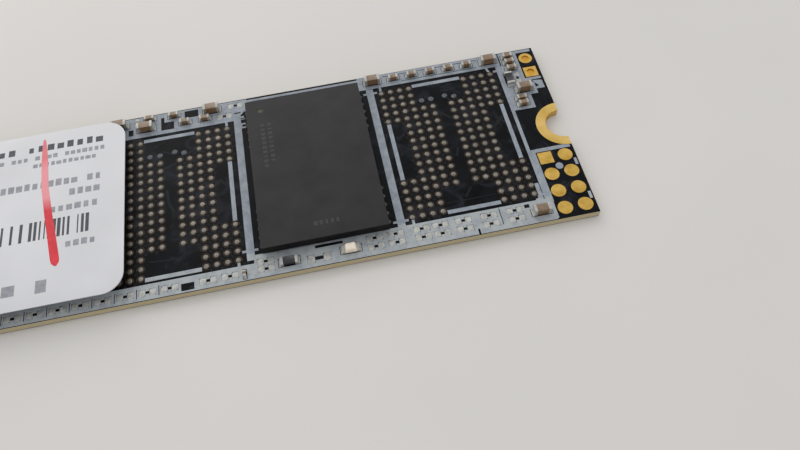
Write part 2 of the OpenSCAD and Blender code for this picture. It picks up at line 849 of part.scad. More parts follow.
module regulator_leads() {
  lead_w = 0.3;
  lead_t = 0.2;
  lead_pitch = 0.8;
  for (turn = [0:90:270], s = [-1:1]) rotate(turn)
    translate([regulator_w / 2 - lead_w, s * lead_pitch - lead_w / 2, 0])
      cube([lead_w + end_proud, lead_w, lead_t]);
}

module power_regulator() {
  color(mould_grey) translate([regulator_place[0], regulator_place[1], board_t]) difference() {
    union() {
      translate([-regulator_w / 2, -regulator_w / 2, 0]) cube([regulator_w, regulator_w, regulator_t]);
      regulator_leads();
    }
    dimple(regulator_w, regulator_w, regulator_t, 0.4, 0.6);
  }
}

module end_joint(l, w, h, end_l) {
  rise = pad_t + h * fillet_rise;
  translate([0, w / 2, 0]) rotate([90, 0, 0]) linear_extrude(w) polygon([
    [l / 2 - end_l, 0],
    [l / 2 + fillet_l, 0],
    [l / 2 + fillet_l, pad_t],
    [l / 2, rise],
    [l / 2, pad_t],
    [l / 2 - end_l, pad_t]
  ]);
}

module chip_joints(place, size, end_l, turn = 0) {
  translate([place[0], place[1], board_t]) for (side = [0, 180])
    rotate(turn + side) end_joint(size[0], size[1], size[2], end_l);
}

module chip_solder_joints() {
  color(tin) {
    for (p = bulk_places) chip_joints(p, [bulk_l, bulk_w, bulk_h], bulk_end);
    for (p = concat(row_places, corner_places, notch_places, strip_places, input_places))
      chip_joints(p, [small_l, small_w, small_h], small_end);
    for (p = inductor_places) chip_joints(p, inductor_size, bulk_end);
    chip_joints(pull_up_place, [bulk_l, bulk_w, resistor_h], bulk_end);
    chip_joints(light_place, [bulk_l, bulk_w, light_base_h], bulk_end);
    chip_joints(column_resistor_place, [bulk_l, bulk_w, resistor_h], bulk_end, 90);
    chip_joints(tiny_place, tiny_size, tiny_end, 90);
  }
}

// Tinned pads with no part on them

module pad_pair(place, pad, reach, turn = 0) {
  translate([place[0], place[1], board_t]) rotate(turn) for (s = [-1, 1])
    translate([s * reach - pad[0] / 2, -pad[1] / 2, 0]) cube([pad[0], pad[1], pad_t]);
}

module spare_pads_far() {
  color(tin) {
    for (p = spare_far) pad_pair(p, spare_pad, spare_reach);
    pad_pair(upright_spare_place, spare_pad, spare_reach, 90);
    pad_pair(narrow_spare_place, narrow_spare_pad, narrow_spare_reach, 90);
  }
}

module spare_pads_near() {
  color(tin) {
    for (p = concat(spare_near, spare_middle, spare_right)) pad_pair(p, spare_pad, spare_reach);
    pad_pair(wide_spare_place, wide_spare_pad, wide_spare_reach);
  }
}

circuit_board();
notch_plating();
edge_contacts_top();
edge_contacts_bottom();
board_print();
jumper_pad_round();
jumper_pad_square();
service_pad_square();
service_pads_round();
bare_lands_right();
bare_lands_left();
memory_outer_lands();
memory_package();
memory_solder_balls();
covered_memory_package();
covered_memory_solder_balls();
controller_package();
controller_solder_balls();
drive_label();
for (i = [1:bulk_count]) bulk_capacitor(i);
for (i = [1:row_count])
  small_capacitor(row_places[i - 1]);
for (i = [1:corner_count])
  small_capacitor(corner_places[i - 1]);
for (i = [1:notch_count])
  small_capacitor(notch_places[i - 1]);
for (i = [1:strip_count])
  small_capacitor(strip_places[i - 1]);
for (i = [1:input_count])
  small_capacitor(input_places[i - 1]);
for (i = [1:inductor_count]) power_inductor(i);
tiny_capacitor();
pull_up_resistor();
column_resistor();
light_base();
light_lens();
crystal_base();
crystal_cover();
power_regulator();
chip_solder_joints();
spare_pads_far();
spare_pads_near();
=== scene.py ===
import math

import bmesh
import bpy
from mathutils import Matrix, Vector


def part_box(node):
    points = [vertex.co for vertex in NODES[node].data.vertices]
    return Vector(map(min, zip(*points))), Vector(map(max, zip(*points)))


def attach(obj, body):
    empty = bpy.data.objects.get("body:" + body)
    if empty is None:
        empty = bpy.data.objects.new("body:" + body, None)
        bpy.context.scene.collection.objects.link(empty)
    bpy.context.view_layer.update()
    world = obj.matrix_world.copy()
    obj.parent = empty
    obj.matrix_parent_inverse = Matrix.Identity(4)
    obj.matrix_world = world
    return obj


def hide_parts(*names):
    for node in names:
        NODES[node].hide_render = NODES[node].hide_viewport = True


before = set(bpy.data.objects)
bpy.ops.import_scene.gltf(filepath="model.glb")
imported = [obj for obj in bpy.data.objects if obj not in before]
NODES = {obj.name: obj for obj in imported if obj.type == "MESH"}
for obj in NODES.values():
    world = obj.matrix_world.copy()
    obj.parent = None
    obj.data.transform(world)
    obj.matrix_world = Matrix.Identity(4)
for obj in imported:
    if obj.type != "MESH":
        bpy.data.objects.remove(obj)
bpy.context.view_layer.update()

# Sizes in millimetres are turned to metres with MM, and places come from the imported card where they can
MM = 0.001
BODY = "root"
BOARD_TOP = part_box("circuit_board")[1].z
label_low, label_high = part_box("drive_label")


def rgb(code):
    """An sRGB hex colour as linear red, green, blue and alpha."""
    parts = [int(code[i:i + 2], 16) / 255 for i in (1, 3, 5)]
    linear = [c / 12.92 if c <= 0.04045 else ((c + 0.055) / 1.055) ** 2.4 for c in parts]
    return (*linear, 1.0)


def per(size_mm):
    """The texture scale that repeats a pattern at that size in millimetres."""
    return 1 / (size_mm * MM)


def add(tree, kind, inputs=None, **settings):
    """A new node with its settings; each input gets a value, a link, or a link to a node's first output."""
    node = tree.nodes.new(kind)
    for name, value in settings.items():
        setattr(node, name, value)
    for socket, value in (inputs or {}).items():
        if isinstance(value, bpy.types.Node):
            value = value.outputs[0]
        if isinstance(value, bpy.types.NodeSocket):
            tree.links.new(value, node.inputs[socket])
        else:
            node.inputs[socket].default_value = value
    return node


# Camera, at the place and roll worked out from the card's land grid

CAMERA_AT = Vector((16.78, -41.65, 55.67)) * MM
CAMERA_AIM = Vector((21.29, -8.30, 0.80)) * MM
CAMERA_ROLL = math.radians(-4.45)
CAMERA_LENS = 30.75
CAMERA_SENSOR = 36.0

# Strength of the sky low down and overhead, and the share of it that is left behind the camera
SKY_LOW = 1.25
SKY_HIGH = 0.75
SKY_NEAR = 0.73

# Where those changes start and end, on a direction one unit long: across the table, and upwards
SKY_ACROSS = (-0.5, 0.6)
SKY_UP = (0.55, 0.95)


def facing(start, end):
    """The turn that makes a camera or a lamp at start look at end."""
    return (end - start).to_track_quat("-Z", "Y").to_matrix()


def set_camera():
    data = bpy.data.cameras.new("camera")
    data.lens = CAMERA_LENS
    data.sensor_width = CAMERA_SENSOR
    data.clip_start = 1 * MM
    data.clip_end = 10
    camera = bpy.data.objects.new("camera", data)
    turn = facing(CAMERA_AT, CAMERA_AIM) @ Matrix.Rotation(CAMERA_ROLL, 3, "Z")
    camera.matrix_world = Matrix.Translation(CAMERA_AT) @ turn.to_4x4()
    bpy.context.scene.collection.objects.link(camera)
    bpy.context.scene.camera = camera
    bpy.context.scene.view_settings.view_transform = "Standard"


# Light: a soft sky, brighter beyond the table than behind the camera, and a window on the far left

def studio_sky():
    world = bpy.data.worlds.new("studio_sky")
    world.use_nodes = True
    tree = world.node_tree
    tree.nodes.clear()
    where = add(tree, "ShaderNodeTexCoord").outputs["Generated"]
    way = add(tree, "ShaderNodeSeparateXYZ", {"Vector": where}).outputs
    across = {"From Min": SKY_ACROSS[0], "From Max": SKY_ACROSS[1], "To Min": SKY_NEAR, "To Max": 1.0}
    upwards = {"From Min": SKY_UP[0], "From Max": SKY_UP[1], "To Min": SKY_LOW, "To Max": SKY_HIGH}
    far = add(tree, "ShaderNodeMapRange", {"Value": way["Y"], **across})
    low = add(tree, "ShaderNodeMapRange", {"Value": way["Z"], **upwards})
    strength = add(tree, "ShaderNodeMath", {0: far, 1: low}, operation="MULTIPLY")
    glow = add(tree, "ShaderNodeBackground", {"Color": rgb("#f4f6fa"), "Strength": strength})
    add(tree, "ShaderNodeOutputWorld", {"Surface": glow})
    bpy.context.scene.world = world


def soft_light(name, at, aim, size, power, tint):
    """A round soft lamp, with its places and size in millimetres and its power in watts."""
    data = bpy.data.lights.new(name, "AREA")
    data.shape = "DISK"
    data.size = size * MM
    data.energy = power
    data.color = rgb(tint)[:3]
    lamp = bpy.data.objects.new(name, data)
    start, end = Vector(at) * MM, Vector(aim) * MM
    lamp.matrix_world = Matrix.Translation(start) @ facing(start, end).to_4x4()
    bpy.context.scene.collection.objects.link(lamp)


set_camera()
studio_sky()
soft_light("window_light", at=(-60, 230, 150), aim=(10, 0, 0), size=240, power=0.2, tint="#fffcf4")


# Materials

# How far the mask's colour reaches down the board's edge, and where the near strip of print begins
MASK_FILM = 0.05 * MM
NEAR_STRIP_Y = -8.3 * MM

# The painted shade over a filled hole: full within the radius of the dish's floor, gone at the radius of
# its rim
HOLE_SHADE_FULL_R = 0.26 * MM
HOLE_SHADE_EDGE_R = 0.44 * MM


def finish(name, dark, light, patch_mm, rough, grain_mm, depth_mm, specular=0.5, **shader):
    """A material whose colour drifts between two shades, with a grain in its bump and gloss.

    Filler, frost and rolling marks of a few thousandths of a millimetre are too fine to show, so their
    grains are drawn as coarse as the render needs.
    """
    material = bpy.data.materials.new(name)
    material.use_nodes = True
    tree = material.node_tree
    tree.nodes.clear()
    where = add(tree, "ShaderNodeTexCoord").outputs["Object"]
    patches = add(tree, "ShaderNodeTexNoise", {"Vector": where, "Scale": per(patch_mm), "Detail": 5.0})
    grain = add(tree, "ShaderNodeTexNoise", {"Vector": where, "Scale": per(grain_mm), "Detail": 3.0})
    # Noise stays near the middle of its range, so the shares are stretched from there
    share = add(tree, "ShaderNodeMapRange", {"Value": patches, "From Min": 0.3, "From Max": 0.7})
    colour = add(tree, "ShaderNodeMix", {0: share, 6: rgb(dark), 7: rgb(light)}, data_type="RGBA")
    gloss = add(
        tree, "ShaderNodeMapRange",
        {"Value": grain, "From Min": 0.25, "From Max": 0.75, "To Min": rough[0], "To Max": rough[1]},
    )
    bump = add(tree, "ShaderNodeBump", {"Height": grain, "Distance": depth_mm * MM, "Strength": 1.0})
    surface = add(
        tree, "ShaderNodeBsdfPrincipled",
        {
            "Base Color": colour.outputs[2],
            "Roughness": gloss,
            "Normal": bump,
            "Specular IOR Level": specular,
            **shader,
        },
    )
    add(tree, "ShaderNodeOutputMaterial", {"Surface": surface})
    return material


def recolour(material, share, shade):
    """Blends another shade into a finished material's colour, by a share from 0 to 1."""
    tree = material.node_tree
    surface = next(n for n in tree.nodes if n.type == "BSDF_PRINCIPLED")
    before = surface.inputs["Base Color"].links[0].from_socket
    both = add(tree, "ShaderNodeMix", {0: share, 6: before, 7: shade}, data_type="RGBA")
    tree.links.new(both.outputs[2], surface.inputs["Base Color"])
    return material


def place_in(tree, axis):
    """The place along one axis of the card, in metres."""
    where = add(tree, "ShaderNodeTexCoord").outputs["Object"]
    return add(tree, "ShaderNodeSeparateXYZ", {"Vector": where}).outputs[axis]


def cured_solder_mask():
    """Black mask cured over copper and glass fibre: satin, with smoky clouds where flux was wiped.

    The board's edge, where it was routed, shows the tan plies of the laminate.
    """
    material = finish(
        "cured_solder_mask", "#030304", "#101216",
        patch_mm=2.4, rough=(0.3, 0.42), grain_mm=0.4, depth_mm=0.003, specular=0.08,
    )
    tree = material.node_tree
    where = add(tree, "ShaderNodeTexCoord").outputs["Object"]
    clouds = add(
        tree, "ShaderNodeTexNoise", {"Vector": where, "Scale": per(1.9), "Detail": 5.0, "Distortion": 0.9},
    )
    wiped_flux = add(
        tree, "ShaderNodeMapRange",
        {"Value": clouds, "From Min": 0.53, "From Max": 0.75, "To Min": 0.0, "To Max": 0.8},
    )
    recolour(material, wiped_flux, rgb("#2d2f37"))
    height = place_in(tree, "Z")
    under = add(tree, "ShaderNodeMath", {0: height, 1: BOARD_TOP - MASK_FILM}, operation="LESS_THAN")
    over = add(tree, "ShaderNodeMath", {0: height, 1: MASK_FILM}, operation="GREATER_THAN")
    routed = add(tree, "ShaderNodeMath", {0: under, 1: over}, operation="MULTIPLY")
    plies = add(
        tree, "ShaderNodeTexWave",
        {"Vector": where, "Scale": per(0.9), "Distortion": 1.5, "Detail": 2.0, "Detail Scale": 3.0},
        bands_direction="Z",
    )
    laminate = add(
        tree, "ShaderNodeMix", {0: plies.outputs[1], 6: rgb("#ab9c78"), 7: rgb("#bcaf90")},
        data_type="RGBA",
    )
    return recolour(material, routed, laminate.outputs[2])


def mask_over_copper():
    """Mask where it lies over copper traces and vias: a little lighter and glossier than the rest."""
    return finish(
        "mask_over_copper", "#121316", "#1c1d20",
        patch_mm=1.0, rough=(0.4, 0.52), grain_mm=0.2, depth_mm=0.002, specular=0.12,
    )


def dried_flux():
    """Flux that dried in a smoky grey blot over a covered via."""
    return finish(
        "dried_flux", "#4a4d51", "#686c71",
        patch_mm=0.25, rough=(0.5, 0.65), grain_mm=0.1, depth_mm=0.002, specular=0.15,
    )


def flux_stained_laminate():
    """Laminate in the ring between a land and the mask: brown with baked flux."""
    return finish(
        "flux_stained_laminate", "#251c14", "#382c20",
        patch_mm=0.7, rough=(0.4, 0.6), grain_mm=0.1, depth_mm=0.002, specular=0.15,
    )


def plated_gold():
    """Thin gold over nickel, plated: warm, satin, with faint brown stains."""
    return finish(
        "plated_gold", "#c3a050", "#dfbf77",
        patch_mm=1.6, rough=(0.4, 0.55), grain_mm=0.12, depth_mm=0.002, Metallic=1.0,
    )


def immersion_gold(name="immersion_gold"):
    """A thinner gold that a bath leaves on the pads: deeper and more orange than the plated ring."""
    return finish(
        name, "#b99240", "#d6b260",
        patch_mm=0.8, rough=(0.4, 0.55), grain_mm=0.1, depth_mm=0.002, Metallic=1.0,
    )


def filled_hole_gold_and_shade(node):
    """The same gold round a hole filled with metal: it darkens to amber towards the middle, painted as the
    shade in the dish over the hole.
    """
    material = immersion_gold("filled_hole_gold_and_shade")
    low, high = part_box(node)
    tree = material.node_tree
    where = add(tree, "ShaderNodeTexCoord").outputs["Object"]
    flat = add(tree, "ShaderNodeVectorMath", {0: where, 1: (1.0, 1.0, 0.0)}, operation="MULTIPLY")
    axis = ((low.x + high.x) / 2, (low.y + high.y) / 2, 0.0)
    away = add(tree, "ShaderNodeVectorMath", {0: flat, 1: axis}, operation="DISTANCE").outputs["Value"]
    # Painted shade: strongest inside the floor radius, fading out by the rim radius
    amber_shade = {"From Min": HOLE_SHADE_FULL_R, "From Max": HOLE_SHADE_EDGE_R, "To Min": 0.8, "To Max": 0.0}
    hole_shade = add(tree, "ShaderNodeMapRange", {"Value": away, **amber_shade})
    return recolour(material, hole_shade, rgb("#c89130"))


def tinned_solder():
    """Solder that melted and froze in an oven: grey, with a soft frosted shine."""
    return finish(
        "tinned_solder", "#78736c", "#958f87",
        patch_mm=0.5, rough=(0.52, 0.7), grain_mm=0.08, depth_mm=0.004, Metallic=1.0,
    )


def solder_painted_dark():
    """Solder beside a package: dull, and painted dark as the shade that lies beside the package."""
    return finish(
        "solder_painted_dark", "#4b4844", "#65625c",
        patch_mm=0.4, rough=(0.55, 0.7), grain_mm=0.08, depth_mm=0.004, Metallic=1.0,
    )


def levelled_tin():
    """Tin that hot air levelled over the pads, under a dry film of flux: pale, almost without shine."""
    return finish(
        "levelled_tin", "#a2a39f", "#c6c5be",
        patch_mm=0.35, rough=(0.6, 0.75), grain_mm=0.08, depth_mm=0.003, Metallic=0.5,
    )


def plated_tin():
    """Matte tin plated over the fired silver at the ends of a chip part: pale grey, frosted."""
    return finish(
        "plated_tin", "#aeaca6", "#c8c6c0",
        patch_mm=0.3, rough=(0.6, 0.75), grain_mm=0.06, depth_mm=0.004, Metallic=1.0,
    )


def screen_printed_ink():
    """White epoxy ink pushed through a screen: thin, so the black below greys it in specks.

    It lies thicker, and so whiter, in the strip along the near edge.
    """
    material = finish(
        "screen_printed_ink", "#7f868e", "#9ca2a9",
        patch_mm=0.9, rough=(0.5, 0.65), grain_mm=0.15, depth_mm=0.004, IOR=1.5,
    )
    tree = material.node_tree
    where = add(tree, "ShaderNodeTexCoord").outputs["Object"]
    specks = add(tree, "ShaderNodeTexNoise", {"Vector": where, "Scale": per(0.12), "Detail": 2.0})
    thin = add(tree, "ShaderNodeMapRange", {"Value": specks, "From Min": 0.6, "From Max": 0.75})
    recolour(material, thin, rgb("#555c63"))
    clouds = add(tree, "ShaderNodeTexNoise", {"Vector": where, "Scale": per(0.7), "Detail": 4.0})
    thick = add(
        tree, "ShaderNodeMapRange",
        {"Value": clouds, "From Min": 0.35, "From Max": 0.6, "To Min": 0.25, "To Max": 0.85},
    )
    near = add(tree, "ShaderNodeMath", {0: place_in(tree, "Y"), 1: NEAR_STRIP_Y}, operation="LESS_THAN")
    whiter = add(tree, "ShaderNodeMath", {0: near, 1: thick}, operation="MULTIPLY")
    return recolour(material, whiter, rgb("#a9adac"))


def moulded_epoxy():
    """Black epoxy pressed round the dies: matte, charcoal, with the fine grain of its silica filler."""
    return finish(
        "moulded_epoxy", "#1f1c1d", "#2a2728",
        patch_mm=2.5, rough=(0.45, 0.6), grain_mm=0.07, depth_mm=0.004, specular=0.27,
    )


def epoxy_painted_side_shade():
    """The same epoxy at a package's sides, sawn smooth, and painted nearly black as the shade they lie in.
    """
    return finish(
        "epoxy_painted_side_shade", "#0e0d0e", "#171516",
        patch_mm=0.5, rough=(0.4, 0.5), grain_mm=0.05, depth_mm=0.002, specular=0.12,
    )


def etched_epoxy():
    """Epoxy that a laser has marked: a dull warm grey, barely lighter than the mould."""
    return finish(
        "etched_epoxy", "#2d2c29", "#363431",
        patch_mm=0.3, rough=(0.6, 0.75), grain_mm=0.05, depth_mm=0.003, IOR=1.5,
    )


def dabbed_ink():
    """Pale yellow ink dabbed in the moulded dimple that marks a package's first ball: a dim spot."""
    return finish(
        "dabbed_ink", "#3a3929", "#4d4b35",
        patch_mm=0.2, rough=(0.5, 0.65), grain_mm=0.05, depth_mm=0.002, IOR=1.5,
    )


def label_film():
    """White plastic film with a satin coat, slightly cool, with a soft ripple from being pressed on."""
    return finish(
        "label_film", "#cfcecf", "#d9d8d9",
        patch_mm=6.0, rough=(0.42, 0.52), grain_mm=1.5, depth_mm=0.004, IOR=1.48,
    )


def ribbon_ink():
    """Black ink melted from a ribbon on to the label: dense, satin, slightly uneven."""
    return finish(
        "ribbon_ink", "#37383c", "#4c4d52",
        patch_mm=0.5, rough=(0.5, 0.6), grain_mm=0.1, depth_mm=0.001, IOR=1.5,
    )


def thin_ribbon_ink():
    """The same ink where the strokes are thin, so that it looks grey."""
    return finish(
        "thin_ribbon_ink", "#85868a", "#9c9da1",
        patch_mm=0.4, rough=(0.5, 0.6), grain_mm=0.1, depth_mm=0.001, IOR=1.5,
    )


def marker_ink():
    """Red felt marker on film: strong where the pen came to rest, pink and dry halfway."""
    material = finish(
        "marker_ink", "#c9101f", "#db2a37",
        patch_mm=0.6, rough=(0.38, 0.48), grain_mm=0.2, depth_mm=0.001, IOR=1.48,
    )
    tree = material.node_tree
    along = place_in(tree, "Y")
    drying = {"From Min": 0.0 * MM, "From Max": 1.6 * MM, "To Min": 0.0, "To Max": 0.78}
    wet_start = {"From Min": 5.0 * MM, "From Max": 6.6 * MM, "To Min": 1.0, "To Max": 0.55}
    dry = add(tree, "ShaderNodeMapRange", {"Value": along, **drying})
    fresh = add(tree, "ShaderNodeMapRange", {"Value": along, **wet_start})
    share = add(tree, "ShaderNodeMath", {0: dry, 1: fresh}, operation="MULTIPLY")
    return recolour(material, share, rgb("#eca2a7"))


def fired_ceramic():
    """Barium titanate, fired in a kiln: dark brown and mottled, with a milky sheen towards the window."""
    return finish(
        "fired_ceramic", "#5c3f17", "#7b592a",
        patch_mm=0.4, rough=(0.42, 0.56), grain_mm=0.06, depth_mm=0.005, IOR=2.0,
    )


def pressed_ferrite():
    """Ferrite powder pressed and sintered: dark grey with a stony grain."""
    return finish(
        "pressed_ferrite", "#1d1e20", "#2b2c2f",
        patch_mm=0.4, rough=(0.5, 0.65), grain_mm=0.05, depth_mm=0.006, IOR=1.6,
    )


def resistor_glaze():
    """Black glass glaze over a fired film: glossy and almost black."""
    return finish(
        "resistor_glaze", "#101013", "#1b1b1f",
        patch_mm=0.4, rough=(0.2, 0.32), grain_mm=0.1, depth_mm=0.002, IOR=1.55,
    )


def cast_silicone():
    """Silicone cast over a light chip, tinted by its phosphor: cream, soft, lets a little light in."""
    shader = {"Subsurface Weight": 0.25, "Subsurface Scale": 0.2 * MM, "IOR": 1.45}
    return finish(
        "cast_silicone", "#e4d6bf", "#f4ead8",
        patch_mm=0.5, rough=(0.3, 0.4), grain_mm=0.1, depth_mm=0.002, **shader,
    )


def rolled_nickel():
    """The seam-welded lid of the clock crystal: rolled nickel alloy, brushed by the mill."""
    return finish(
        "rolled_nickel", "#a9a8a4", "#c6c5c1",
        patch_mm=0.7, rough=(0.25, 0.38), grain_mm=0.04, depth_mm=0.002, Metallic=1.0,
    )


def table_laminate():
    """The pale table top: warm white, smooth, with a slow drift of tone."""
    return finish(
        "table_laminate", "#d3cfc9", "#dad6d0",
        patch_mm=60.0, rough=(0.5, 0.6), grain_mm=0.8, depth_mm=0.004, IOR=1.45,
    )


MASK = cured_solder_mask()
COPPER = mask_over_copper()
HAZE = dried_flux()
RIM = flux_stained_laminate()
GOLD = plated_gold()
PAD_GOLD = immersion_gold()
SOLDER_PAINTED_DARK = solder_painted_dark()
SOLDER = tinned_solder()
PAD_TIN = levelled_tin()
END_TIN = plated_tin()
INK = screen_printed_ink()
EPOXY = moulded_epoxy()
SIDE_SHADE_EPOXY = epoxy_painted_side_shade()
ETCHED = etched_epoxy()
DOT = dabbed_ink()
FILM = label_film()
PRINT = ribbon_ink()
THIN_PRINT = thin_ribbon_ink()
MARKER = marker_ink()
CERAMIC = fired_ceramic()
FERRITE = pressed_ferrite()
GLAZE = resistor_glaze()
RESIN = cast_silicone()
NICKEL = rolled_nickel()
TABLE = table_laminate()


# Making pieces

# Points this near are one point, and an edge sharper than this shows as an edge
SAME_POINT = 1e-7
SHARP = math.radians(40)


def piece(name, mesh, slot_name, *stands_for):
    """A finished mesh as a piece of the card, riding on its one body."""
    made = bpy.data.objects.new(name, mesh)
    bpy.context.scene.collection.objects.link(made)
    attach(made, BODY)
    if stands_for:
        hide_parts(*stands_for)


def dress(node, material):
    """A CAD node keeps its shape and takes a material."""
    for place in NODES[node].material_slots:
        place.material = material


def evaluated(name, mesh, kind, **settings):
    """The mesh after one modifier, as a plain mesh."""
    carrier = bpy.data.objects.new(name, mesh)
    bpy.context.scene.collection.objects.link(carrier)
    modifier = carrier.modifiers.new(name, kind)
    for key, value in settings.items():
        setattr(modifier, key, value)
    ready = carrier.evaluated_get(bpy.context.evaluated_depsgraph_get())
    result = bpy.data.meshes.new_from_object(ready)
    bpy.data.objects.remove(carrier)
    result.name = name
    return result


def to_mesh(shape, name, *materials, pick=None, flat=False):
    """The shape as a mesh with its materials; pick gives each face the number of its material."""
    bmesh.ops.recalc_face_normals(shape, faces=shape.faces)
    if pick:
        for face in shape.faces:
            face.material_index = pick(face.calc_center_median())
    mesh = bpy.data.meshes.new(name)
    shape.to_mesh(mesh)
    shape.free()
    for material in materials:
        mesh.materials.append(material)
    mesh.shade_smooth()
    mesh.set_sharp_from_angle(angle=SHARP)
    return mesh if flat else evaluated(name, mesh, "WEIGHTED_NORMAL", keep_sharp=True, weight=100)


def merged_copy(node):
    """A CAD node's loose triangles merged into closed shapes."""
    shape = bmesh.new()
    shape.from_mesh(NODES[node].data)
    bmesh.ops.remove_doubles(shape, verts=shape.verts, dist=SAME_POINT)
    return shape


def clean_copy(node):
    """A merged copy of a CAD node, with the triangles of each flat face made one face."""
    shape = merged_copy(node)
    bmesh.ops.dissolve_limit(
        shape, angle_limit=math.radians(0.5), use_dissolve_boundaries=False,
        verts=shape.verts, edges=shape.edges,
    )
    return shape


def round_edges(shape, width_mm, shortest_mm=0.0, segments=3, least_angle=0.6):
    """Rounds the edges that turn by that angle or more and are at least that long."""
    hard = [
        e for e in shape.edges
        if len(e.link_faces) == 2
        and e.calc_face_angle(0) > least_angle
        and e.calc_length() >= shortest_mm * MM
    ]
    bmesh.ops.bevel(
        shape, geom=hard, offset=width_mm * MM, segments=segments, affect="EDGES", profile=0.5,
        clamp_overlap=True,
    )


def islands(node):
    """The points of each separate solid in a CAD node."""
    shape = clean_copy(node)
    left = set(shape.verts)
    found = []
    while left:
        group = set()
        waiting = [left.pop()]
        while waiting:
            vert = waiting.pop()
            group.add(vert)
            for edge in vert.link_edges:
                other = edge.other_vert(vert)
                if other in left:
                    left.discard(other)
                    waiting.append(other)
        found.append([v.co.copy() for v in group])
    shape.free()
    return sorted(found, key=lambda points: tuple(round(c, 6) for c in min(points)))


def box_of(points):
    low = Vector([min(p[i] for p in points) for i in range(3)])
    high = Vector([max(p[i] for p in points) for i in range(3)])
    return low, high


def grow(name, tree, values, place):
    """The plain mesh that a Geometry Nodes tree makes from its named inputs, moved to its place."""
    seed = bpy.data.objects.new(name + "_growing", bpy.data.meshes.new(name + "_growing"))
    bpy.context.scene.collection.objects.link(seed)
    modifier = seed.modifiers.new(name, "NODES")
    modifier.node_group = tree
    for socket in tree.interface.items_tree:
        if socket.in_out == "INPUT" and socket.name in values:
            modifier[socket.identifier] = values[socket.name]
    ready = seed.evaluated_get(bpy.context.evaluated_depsgraph_get())
    mesh = bpy.data.meshes.new_from_object(ready)
    mesh.name = name
    mesh.transform(place)
    bpy.data.objects.remove(seed)
    return mesh


def joined(name, meshes):
    """Several meshes of one material as one."""
    shape = bmesh.new()
    for mesh in meshes:
        shape.from_mesh(mesh)
    whole = bpy.data.meshes.new(name)
    shape.to_mesh(whole)
    shape.free()
    for material in meshes[0].materials:
        whole.materials.append(material)
    return whole


def new_tree(name, **inputs):
    """An empty Geometry Nodes tree with named inputs, and its input node's sockets by name."""
    tree = bpy.data.node_groups.new(name, "GeometryNodeTree")
    for label, kind in inputs.items():
        tree.interface.new_socket(label.replace("_", " "), in_out="INPUT", socket_type="NodeSocket" + kind)
    tree.interface.new_socket("Geometry", in_out="OUTPUT", socket_type="NodeSocketGeometry")
    return tree, add(tree, "NodeGroupInput").outputs


def end_tree(tree, points, instance, material, smooth=False, **placing):
    """Sets the shape on every point, turns the copies to real mesh and gives it its material."""
    spread = add(tree, "GeometryNodeInstanceOnPoints", {"Points": points, "Instance": instance, **placing})
    real = add(tree, "GeometryNodeRealizeInstances", {"Geometry": spread})
    shaded = add(tree, "GeometryNodeSetShadeSmooth", {"Geometry": real, "Shade Smooth": smooth})
    done = add(tree, "GeometryNodeSetMaterial", {"Geometry": shaded, "Material": material})
    add(tree, "NodeGroupOutput", {"Geometry": done})
    return tree


# Land pattern: the 13 by 17 grid of a memory site, less the places that have no land

LAND_PITCH = 1.0 * MM
LAND_D = 0.5 * MM
LAND_H = 0.045 * MM
RIM_D = 0.84 * MM
RIM_H = 0.01 * MM

# How steeply a pillow of solder rises at its rim
SWELL = 5.0

# Counted from a site's middle: the inner columns lack their end rows, and the outer ones their middle rows
SITE_COLS = 6
SITE_ROWS = 8
INNER_COLS = 2
INNER_ROWS = 5
MIDDLE_COLS = 4
OUTER_ROWS = 4
PACKAGE_COLS = 5
SITE_INPUTS = {"Pitch": "Float", "First_column": "Float", "Last_column": "Float", "Material": "Material"}


def land_points(tree, given):
    """The points of a site's lands between the first and last column, and each point's x, y and z."""
    pitch = given["Pitch"]
    grid = add(
        tree, "GeometryNodeMeshGrid",
        {
            "Size X": add(tree, "ShaderNodeMath", {0: pitch, 1: 2.0 * SITE_COLS}, operation="MULTIPLY"),
            "Size Y": add(tree, "ShaderNodeMath", {0: pitch, 1: 2.0 * SITE_ROWS}, operation="MULTIPLY"),
            "Vertices X": 2 * SITE_COLS + 1,
            "Vertices Y": 2 * SITE_ROWS + 1,
        },
    )
    spot = add(tree, "GeometryNodeInputPosition")
    place = add(tree, "ShaderNodeSeparateXYZ", {"Vector": spot}).outputs
    away_x = add(tree, "ShaderNodeMath", {0: place["X"]}, operation="ABSOLUTE")
    away_y = add(tree, "ShaderNodeMath", {0: place["Y"]}, operation="ABSOLUTE")
    col = add(tree, "ShaderNodeMath", {0: away_x, 1: pitch}, operation="DIVIDE")
    row = add(tree, "ShaderNodeMath", {0: away_y, 1: pitch}, operation="DIVIDE")
    inner = add(tree, "ShaderNodeMath", {0: col, 1: INNER_COLS + 0.5}, operation="LESS_THAN")
    at_end = add(tree, "ShaderNodeMath", {0: row, 1: INNER_ROWS + 0.5}, operation="GREATER_THAN")
    inner_end = add(tree, "ShaderNodeMath", {0: inner, 1: at_end}, operation="MULTIPLY")
    outer = add(tree, "ShaderNodeMath", {0: col, 1: MIDDLE_COLS + 0.5}, operation="GREATER_THAN")
    halfway = add(tree, "ShaderNodeMath", {0: row, 1: OUTER_ROWS - 0.5}, operation="LESS_THAN")
    outer_middle = add(tree, "ShaderNodeMath", {0: outer, 1: halfway}, operation="MULTIPLY")
    no_land = add(tree, "ShaderNodeMath", {0: inner_end, 1: outer_middle}, operation="MAXIMUM")
    first = add(tree, "ShaderNodeMath", {0: given["First column"], 1: 0.5}, operation="SUBTRACT")
    last = add(tree, "ShaderNodeMath", {0: given["Last column"], 1: 0.5}, operation="ADD")
    before = add(tree, "ShaderNodeMath", {0: col, 1: first}, operation="LESS_THAN")
    after = add(tree, "ShaderNodeMath", {0: col, 1: last}, operation="GREATER_THAN")
    not_here = add(tree, "ShaderNodeMath", {0: before, 1: after}, operation="MAXIMUM")
    left_out = add(tree, "ShaderNodeMath", {0: no_land, 1: not_here}, operation="MAXIMUM")
    kept = add(
        tree, "GeometryNodeDeleteGeometry", {"Geometry": grid, "Selection": left_out}, domain="POINT",
    )
    return kept, place


